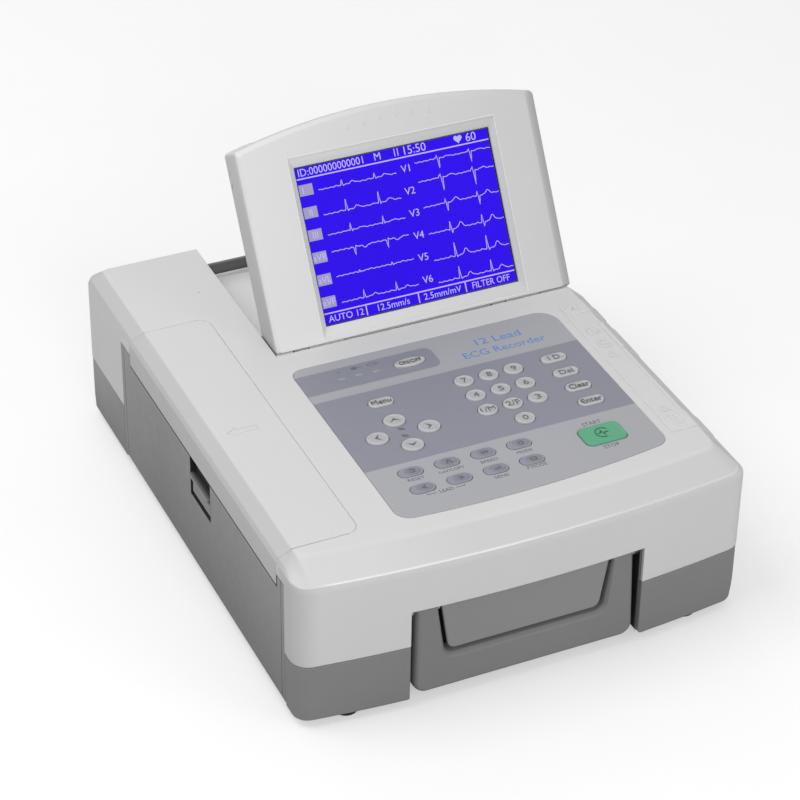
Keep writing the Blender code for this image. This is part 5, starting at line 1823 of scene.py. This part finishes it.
def make_recess():
    """The recess moulding, with a pad that fills the handle's opening."""
    pad = ((-159.0, -0.8), (-158.75, -0.35), (-158.2, 0.0), (-146.5, 0.0))  # y, growth
    changes = cut(box(REC_X0 - 0.3, REC_X1 + 0.3, -170, -147.8, -5, REC_Z1 + 0.4))
    changes += join(
        swept("Y", lambda grow: front_shape(50.1, 44.6, REC_Z1 + 1.5, 29.6, 0, 5.0, grow), pad)
    )
    changes += cut(rod("X", *PIVOT, 2.3, -90, 90, 24))
    block = box(REC_X0 - 3.0, REC_X1 + 3.0, -159.0, -145.2, 5.2, REC_Z1 + 3.0)
    piece(
        "handle_recess_moulding", shaped(block, changes), "liner", "handle_recess_liner",
        "case_grey", edge=0.3,
    )


def make_handle_rod():
    steps = [(REC_X0 - 2.4, 1.6), (REC_X0 - 2.0, 2.0), (REC_X1 + 2.0, 2.0), (REC_X1 + 2.4, 1.6)]
    piece("handle_rod", turned("X", *PIVOT, steps, 24), "steel", "handle_pivot_rod", "steel")


# --------------------------------------------------- rear, underside and socket
def make_rear_panel():
    changes = cut(box(-44.4, -13.6, 150, 170, 19.6, 42.4))
    for k in range(6):
        slot = placed(stadium(28.0, 3.0, 6)(0), 60.0 + 8.0 * k + 1.5, 40.0, upright=True)
        changes += cut(prism("Y", slot, 150, 170))
    for x, z in REAR_SCREWS:
        changes += cut(rod("Y", x, z, 3.2, 162.2, 170, 28))
    # shallow sunk field
    changes += cut(box(2.0, 48.0, 162.7, 170, 22.0, 44.0))
    solid = shaped(box(-62.1, 124.1, 161.0, 163.2, 11.9, 85.5), changes)
    piece("rear_panel_moulding", solid, "dark", "rear_panel", "panel_dark", edge=0.25)
    screws = [screw("Y", x, z, 162.1, 1, 2.5) for x, z in REAR_SCREWS]
    screws += [screw("Z", x, y, FOOT_H + 1.0, -1, 2.8) for x, y in BASE_SCREWS]
    piece("case_screws", together(screws), "screw", slot="steel")


def make_power_supply():
    """Sheet metal unit with vent slots and a three-pin inlet through the rear panel."""
    inlet = [
        (-41.2, 23.2), (-16.8, 23.2), (-16.8, 33.6), (-20.6, 38.8), (-37.4, 38.8), (-41.2, 33.6),
    ]
    changes = join(box(-44.0, -14.0, 148.0, 165.3, 20.0, 42.0))
    changes += cut(prism("Y", fillet(inlet, [1.0] * 6, 3), 157.0, 170.0))
    for k in range(10):
        y = 76.0 + 6.6 * k
        changes += cut(
            box(-57, -55.0, y, y + 3.0, 16, 36), box(33.2, 35.0, y, y + 3.0, 16, 36)
        )
    body = shaped(box(-56.0, 34.0, 66.0, 150.0, 8.1, 44.0), changes)
    for face in body.faces:
        if face.calc_center_median().y > 150.5:
            face.material_index = 1
    # the pins are drawn along Z and turned to stand along Y
    lay = Matrix(((1, 0, 0, 0), (0, 0, -1, 0), (0, 1, 0, 0), (0, 0, 0, 1)))
    blade = rounded_square(5.0, 2.2, 0.5)
    pins = []
    for x, z in ((-34.6, 29.4), (-23.4, 29.4), (-29.0, 34.4)):
        pin = padded(
            lambda grow: placed(blade(grow), x, z, upright=True), -163.6, -156.0, 0.3, 0.1, 2, 2
        )
        pin.transform(lay)
        pins.append(pin)
    piece(
        "power_supply_unit", together([body] + pins), "sheet chip tin", "power_supply",
        "supply_case", edge=0.25,
    )


def make_patient_socket():
    mouth = fillet([(-77.0, 66.4), (-75.2, 57.6), (-48.8, 57.6), (-47.0, 66.4)], [1.6] * 4, 5)
    shell = box(124.0, HALF_W + 1.2, -82.0, -42.0, 55.0, 69.0)
    parts = [shaped(shell, cut(prism("X", mouth, HALF_W - 4.0, 150)))]
    for row, count in ((0, 8), (1, 7)):
        for k in range(count):
            y = -71.6 + 2.77 * (k + 0.5 * row)
            steps = [(127.0, 0.5), (130.6, 0.5), (131.0, 0.25)]
            parts.append(turned("X", y, 63.6 - 2.9 * row, steps, 12, 1))
    for y in (-79.6, -44.4):
        parts.append(prism("X", circle(y, 62.0, 1.9, 6), 131.0, 133.0, 1))
    piece(
        "patient_cable_socket", together(parts), "dark tin", "patient_socket", "panel_dark",
        edge=0.25,
    )


def make_feet():
    steps = [  # height, radius
        (0.35, 1.6), (0, 2.2), (0, 5.4), (0.2, 6.2), (0.7, 6.8), (1.4, 7.2), (2.4, 7.5),
        (3.6, 7.9), (4.7, 8.4),
    ]
    for name, x, y in (
        ("foot_front_left", -101.2, -149.3),
        ("foot_front_right", 102.0, -148.6),
        ("foot_rear_left", -102.0, 146.0),
        ("foot_rear_right", 102.0, 146.0),
    ):
        piece(name + "_pad", turned("Z", x, y, steps, 48), "rubber", name, "rubber")


def make_battery():
    changes = cut(box(62.0, 80.0, -72.0, -67.0, 2.0, 6.4))
    for k in range(7):
        changes += cut(box(58.0 + 3.6 * k, 59.6 + 3.6 * k, -84.0, -76.0, 2.0, 5.7))
    cover = shaped(box(30.3, 111.7, -131.7, -62.3, FOOT_H + 0.2, 7.9), changes)
    piece("battery_door_moulding", cover, "grey", "battery_door", "case_grey", edge=0.3)
    # eight cells under shrink wrap
    outline = rounded_square(74.0, 60.0, 3.0)
    parts = [padded(lambda grow: placed(outline(grow), 71.0, -97.0), 9.2, 35.2, 1.0, 1.0, 3)]
    steps = [(-128.7, 7.6), (-128.2, 8.9), (-65.6, 8.9), (-65.2, 7.6)]
    for k in range(4):
        for z in (18.0, 26.6):
            parts.append(turned("Y", 43.5 + 19.0 * k, z, steps, 32))
    piece("battery_pack_wrap", together(parts), "wrap", "battery_pack", "key_blue")


# --------------------------------------------------------------------- printer
def face_place(face, axis):
    """A face's distance from an axis (x, z) along Y, and its y."""
    centre = face.calc_center_median()
    return math.hypot(centre.x - axis[0], centre.z - axis[1]), centre.y


def make_platen():
    """Rubber roller on a steel shaft."""
    steps = [
        (WALL_FRONT[0] + 0.4, 2.1), (WALL_FRONT[0] + 0.8, 2.5), (-128.0, 2.5), (-128.0, 5.2),
        (-127.7, 5.6), (85.9, 5.6), (86.2, 5.2), (86.2, 2.5), (95.8, 2.5), (96.2, 2.1),
    ]
    body = turned("Y", *PLATEN, steps, 48)
    for face in body.faces:
        radius, y = face_place(face, PLATEN)
        face.material_index = 0 if radius > 2.6 and -128.2 < y < 86.4 else 1
    piece(
        "platen_roller_rubber", body, "platen steel", "platen_roller", "rubber",
        rides="feed_roller",
    )


def gear(teeth, centre, phase):
    pitch = GEAR_MODULE * teeth / 2
    tip, root, half = pitch + 0.62, pitch - 0.95, math.pi / teeth
    # one tooth: (turn in half pitches, radius)
    tooth = (
        (-0.62, root), (-0.50, root + 0.45), (-0.38, pitch), (-0.24, tip),
        (0.24, tip), (0.38, pitch), (0.50, root + 0.45), (0.62, root),
    )
    points = []
    for k in range(teeth):
        middle = phase + 2 * half * k
        for turn, radius in tooth:
            a = middle + turn * half
            points.append((centre[0] + radius * math.cos(a), centre[1] + radius * math.sin(a)))
    return prism("Y", points, *GEAR_Y)


def make_gears():
    cuts = cut(rod("Y", *PLATEN, 2.8, 80, 110, 28))
    for k in range(5):
        a = 2 * math.pi * k / 5
        x, z = PLATEN[0] + 5.0 * math.cos(a), PLATEN[1] + 5.0 * math.sin(a)
        cuts += cut(rod("Y", x, z, 1.1, 80, 110, 18))
    wheel = shaped(gear(WHEEL_TEETH, PLATEN, MOTOR_ANGLE), cuts)
    piece(
        "platen_gear_wheel", wheel, "acetal", "platen_gear", "gear_plastic",
        rides="feed_roller", edge=0.08, edge_steps=1,
    )
    pinion = gear(PINION_TEETH, MOTOR, MOTOR_ANGLE + math.pi + math.pi / PINION_TEETH)
    pinion = shaped(pinion, join(rod("Y", *MOTOR, 1.2, 92.5, 101.0, 20)))
    piece(
        "motor_pinion_gear", pinion, "brass", "motor_pinion", "brass",
        rides="feed_pinion", edge=0.06, edge_steps=1,
    )


def make_motor():
    steps = [  # y, radius
        (96.6, 4.4), (96.6, 5.0), (97.6, 5.0), (97.6, 12.4), (98.0, 13.0), (100.4, 13.0),
        (100.6, 12.7), (100.9, 12.7), (101.1, 13.0), (120.8, 13.0), (121.0, 12.7),
        (121.3, 12.7), (121.5, 13.0), (124.4, 13.0), (125.0, 12.0),
    ]
    can = shaped(turned("Y", *MOTOR, steps, 48), cut(rod("Y", *MOTOR, 1.6, 90, 103, 20)))
    piece("feed_motor_can", can, "steel", "feed_motor", "steel")


def make_print_head():
    section = [
        (-124.6, 66.0), (-111.0, 66.0), (-111.0, 73.4), (-113.6, 75.6), (-122.6, 75.6),
        (-124.6, 73.6),
    ]
    parts = [
        prism("Y", section, WALL_FRONT[1] + 0.3, WALL_REAR[0] - 0.3),
        turned("Y", -118.4, 75.4, [(-126.0, 0.35), (84.0, 0.35)], 12, 1),
    ]
    for k in range(5):
        parts.append(box(-124.2 + 2.6 * k, -123.0 + 2.6 * k, -125.0, 83.0, 64.4, 66.2, 2))
    piece(
        "print_head_bar", together(parts), "head chip sheet", "thermal_print_head", "head",
        edge=0.15,
    )


def make_chart_roll():
    """Wound layers seen on the roll's ends, over a card core."""
    y0, y1 = -126.0, 84.0
    layers = [7.8 + k for k in range(12)]
    steps = [(y0 + 0.4, 7.0)]
    for radius in layers:
        steps += [(y0 + 0.25, radius), (y0, radius + 0.25), (y0, radius + 0.75)]
    steps += [(y0, 19.7), (y0 + 0.3, 20.0), (y1 - 0.3, 20.0), (y1, 19.7)]
    for radius in reversed(layers):
        steps += [(y1, radius + 0.75), (y1, radius + 0.25), (y1 - 0.25, radius)]
    steps.append((y1 - 0.4, 7.0))
    roll = shaped(turned("Y", *ROLL, steps, 64), cut(rod("Y", *ROLL, 6.95, -140, 100, 40)))
    for face in roll.faces:
        face.material_index = 1 if face_place(face, ROLL)[0] < 7.6 else 0
    piece("chart_roll", roll, "paper core", "paper_roll", "paper", rides="paper")


def make_paper_web():
    """Paper from the roll past the platen to the slot under the door's skirt."""
    path = [
        (-125.2, 45.5), (-125.9, 56.0), (-126.0, 66.0), (-125.4, 76.5), (-124.6, 80.0),
        (-124.9, 81.5), (-126.4, 83.4),
    ]
    other_side = [(x + 0.16, z) for x, z in reversed(path)]
    piece("chart_paper_web", prism("Y", path + other_side, -124.0, 82.0), "paper", slot="paper")


# ---------------------------------------------------------------------- boards
BOARD_TOP = 15.6


def make_main_board():
    rng = random.Random(7)
    # x, x, y, y, height of the leaded chips; then the two tall blocks
    chips = ((-40, -16, -30, -6, 2.4), (0, 14, -34, -20, 2.0), (30, 58, 4, 18, 2.0))
    blocks = ((84, 112, -44, -30, 24.6), (-58, -50, 10, 32, 27.6))
    dark, leads = [], []
    for x0, x1, y0, y1, height in chips:
        outline = rounded_square(x1 - x0, y1 - y0, 0.6)
        middle = ((x0 + x1) / 2, (y0 + y1) / 2)
        top = BOARD_TOP + height
        dark.append(padded(lambda grow: placed(outline(grow), *middle), 15.9, top, 0, 0.3, 2, 1))
        for k in range(int((x1 - x0) / 1.27) - 1):
            x = x0 + 1.0 + 1.27 * k
            leads.append(box(x, x + 0.5, y0 - 1.2, y0 + 0.2, BOARD_TOP, 16.1, 2))
            leads.append(box(x, x + 0.5, y1 - 0.2, y1 + 1.2, BOARD_TOP, 16.1, 2))
    for x0, x1, y0, y1, top in blocks:
        dark.append(box(x0, x1, y0, y1, BOARD_TOP, top, 1))
    # small parts strewn between the large ones
    for _ in range(60):
        x, y = rng.uniform(-62, 114), rng.uniform(-47, 37)
        if any(
            x0 - 3 < x < x1 + 3 and y0 - 3 < y < y1 + 3 for x0, x1, y0, y1, _ in chips + blocks
        ):
            continue
        dark.append(box(x, x + 1.1, y, y + 0.9, BOARD_TOP, 16.2, 1))
        leads.append(box(x - 0.4, x, y, y + 0.9, BOARD_TOP, 16.2, 2))
        leads.append(box(x + 1.1, x + 1.5, y, y + 0.9, BOARD_TOP, 16.2, 2))
    can = [(BOARD_TOP, 2.6), (15.9, 3.0), (24.0, 3.0), (24.4, 2.6)]
    for x, y in ((70, -20), (78, -20), (70, -8), (22, -10)):
        leads.append(turned("Z", x, y, can, 24, 2))
    board = box(-66.0, 118.0, -50.0, 40.0, 14.0, BOARD_TOP)
    solid = together([board] + dark + leads)
    piece("main_board_assembly", solid, "board chip tin", "main_board", "board")


def make_keypad_board():
    parts = [box(-57.0, 95.0, -122.0, 12.0, 89.2, 90.8)]
    contact = [(90.7, 2.6), (91.2, 2.6), (91.5, 1.9), (91.6, 0.6)]
    for _, x, y, _, _, _ in KEYS:
        parts.append(turned("Z", x, y, contact, 24, 1))
    piece("keypad_board_assembly", together(parts), "board tin", "keypad_board", "board")


def make_leads():
    """Red and black battery leads, and the ribbon between the two boards."""
    leads = []
    ends = (((48, -64, 24), (-20, -45, 20)), ((52, -64, 24), (-14, -45, 20)))
    for slot, (first, last) in enumerate(ends):
        start, end = Vector(first), Vector(last)
        peak = (start + end) / 2 + Vector((0, 4, 8))
        path = []
        for k in range(17):
            t = k / 16
            path.append((1 - t) ** 2 * start + 2 * t * (1 - t) * peak + t * t * end)
        leads.append(tube(path, 0.8, 12, slot))
    piece("battery_leads", together(leads), "wire_red wire_black")
    # path of every ribbon strand (y, z)
    fall = ((10, 89.0), (14, 84.0), (17, 60.0), (16, 36.0), (12, 22.0), (6, 16.4))
    strands = []
    for k in range(16):
        path = [Vector((84.0 + 1.2 * k, y, z)) for y, z in fall]
        strands.append(tube(smooth_path(path, 6), 0.55, 8))
    piece("keypad_ribbon", together(strands), "ribbon")


# ------------------------------------------------------------- stage, in metres
def make_floor():
    half = 5.0
    solid = box(-half, half, -half, half, -0.02, -0.0001)
    bmesh.ops.recalc_face_normals(solid, faces=solid.faces)
    mesh = bpy.data.meshes.new("floor")
    solid.to_mesh(mesh)
    solid.free()
    floor = bpy.data.objects.new("floor", mesh)
    bpy.context.scene.collection.objects.link(floor)
    texture = (0.9, 0.05, 3.0, 0.004, 0.0)
    paper = finish("floor_paper", grey(0.93), texture, specular=0.1, glow=0.46, dim=0.60)
    mesh.materials.append(paper)


def make_world():
    world = bpy.data.worlds.new("studio")
    bpy.context.scene.world = world
    world.use_nodes = True
    back = world.node_tree.nodes["Background"]
    back.inputs["Color"].default_value = (1.0, 1.0, 1.0, 1.0)
    back.inputs["Strength"].default_value = 0.50


SOFTBOXES = (  # name, place, height aimed at over the origin, size, watts
    ("softbox_top", (-0.8, 0.1, 1.4), 0.05, (1.0, 1.0), 9.8),
    ("softbox_front", (-0.30, -1.6, 0.95), 0.1, (0.7, 0.5), 8.2),
    ("softbox_right", (0.9, -1.4, 0.9), 0.1, (0.7, 0.7), 4.0),
    ("softbox_rear", (0.0, 1.3, 1.3), 0.08, (1.2, 0.8), 3.5),
)


def make_lights():
    for name, place, aim, size, power in SOFTBOXES:
        light = bpy.data.lights.new(name, "AREA")
        light.shape = "RECTANGLE"
        light.size, light.size_y = size
        light.energy = power
        obj = bpy.data.objects.new(name, light)
        bpy.context.scene.collection.objects.link(obj)
        obj.location = place
        towards = Vector((0, 0, aim)) - Vector(place)
        obj.rotation_euler = towards.to_track_quat("-Z", "Y").to_euler()


def make_camera():
    """A long lens from the front left, looking down; yaw turns right from +Y."""
    camera = bpy.data.cameras.new("camera")
    view = bpy.data.objects.new("camera", camera)
    bpy.context.scene.collection.objects.link(view)
    camera.sensor_width = 36.0
    camera.lens = 123.54
    camera.clip_start = 0.05
    yaw, pitch, roll = (math.radians(angle) for angle in (25.088, 34.786, 0.961))
    forward = Vector(
        (math.sin(yaw) * math.cos(pitch), math.cos(yaw) * math.cos(pitch), -math.sin(pitch))
    )
    right = Vector((math.cos(yaw), -math.sin(yaw), 0))
    up = right.cross(forward)
    rolled_right = right * math.cos(roll) + up * math.sin(roll)
    rolled_up = -right * math.sin(roll) + up * math.cos(roll)
    matrix = Matrix((rolled_right, rolled_up, -forward)).transposed().to_4x4()
    matrix.translation = Vector((-0.54234, -1.15288, 0.95978))
    view.matrix_world = matrix
    bpy.context.scene.camera = view
    bpy.context.scene.view_settings.view_transform = "Standard"


for make in (
    make_top, make_slot_seal, make_edge_marks,
    make_base,
    make_door, make_door_arrow, make_door_pin,
    make_side_panel, make_catch,
    make_keys, make_film, make_panel_print, make_lamps,
    make_bezel, make_bezel_marks, make_display_back, make_lcd, make_screen_picture,
    make_display_pin,
    make_handle, make_recess, make_handle_rod,
    make_rear_panel, make_power_supply, make_patient_socket, make_feet, make_battery,
    make_platen, make_gears, make_motor, make_print_head, make_chart_roll, make_paper_web,
    make_main_board, make_keypad_board, make_leads,
):
    make()

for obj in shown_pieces():
    if obj.get("settle"):
        settle(obj)

make_floor()
make_world()
make_lights()
make_camera()
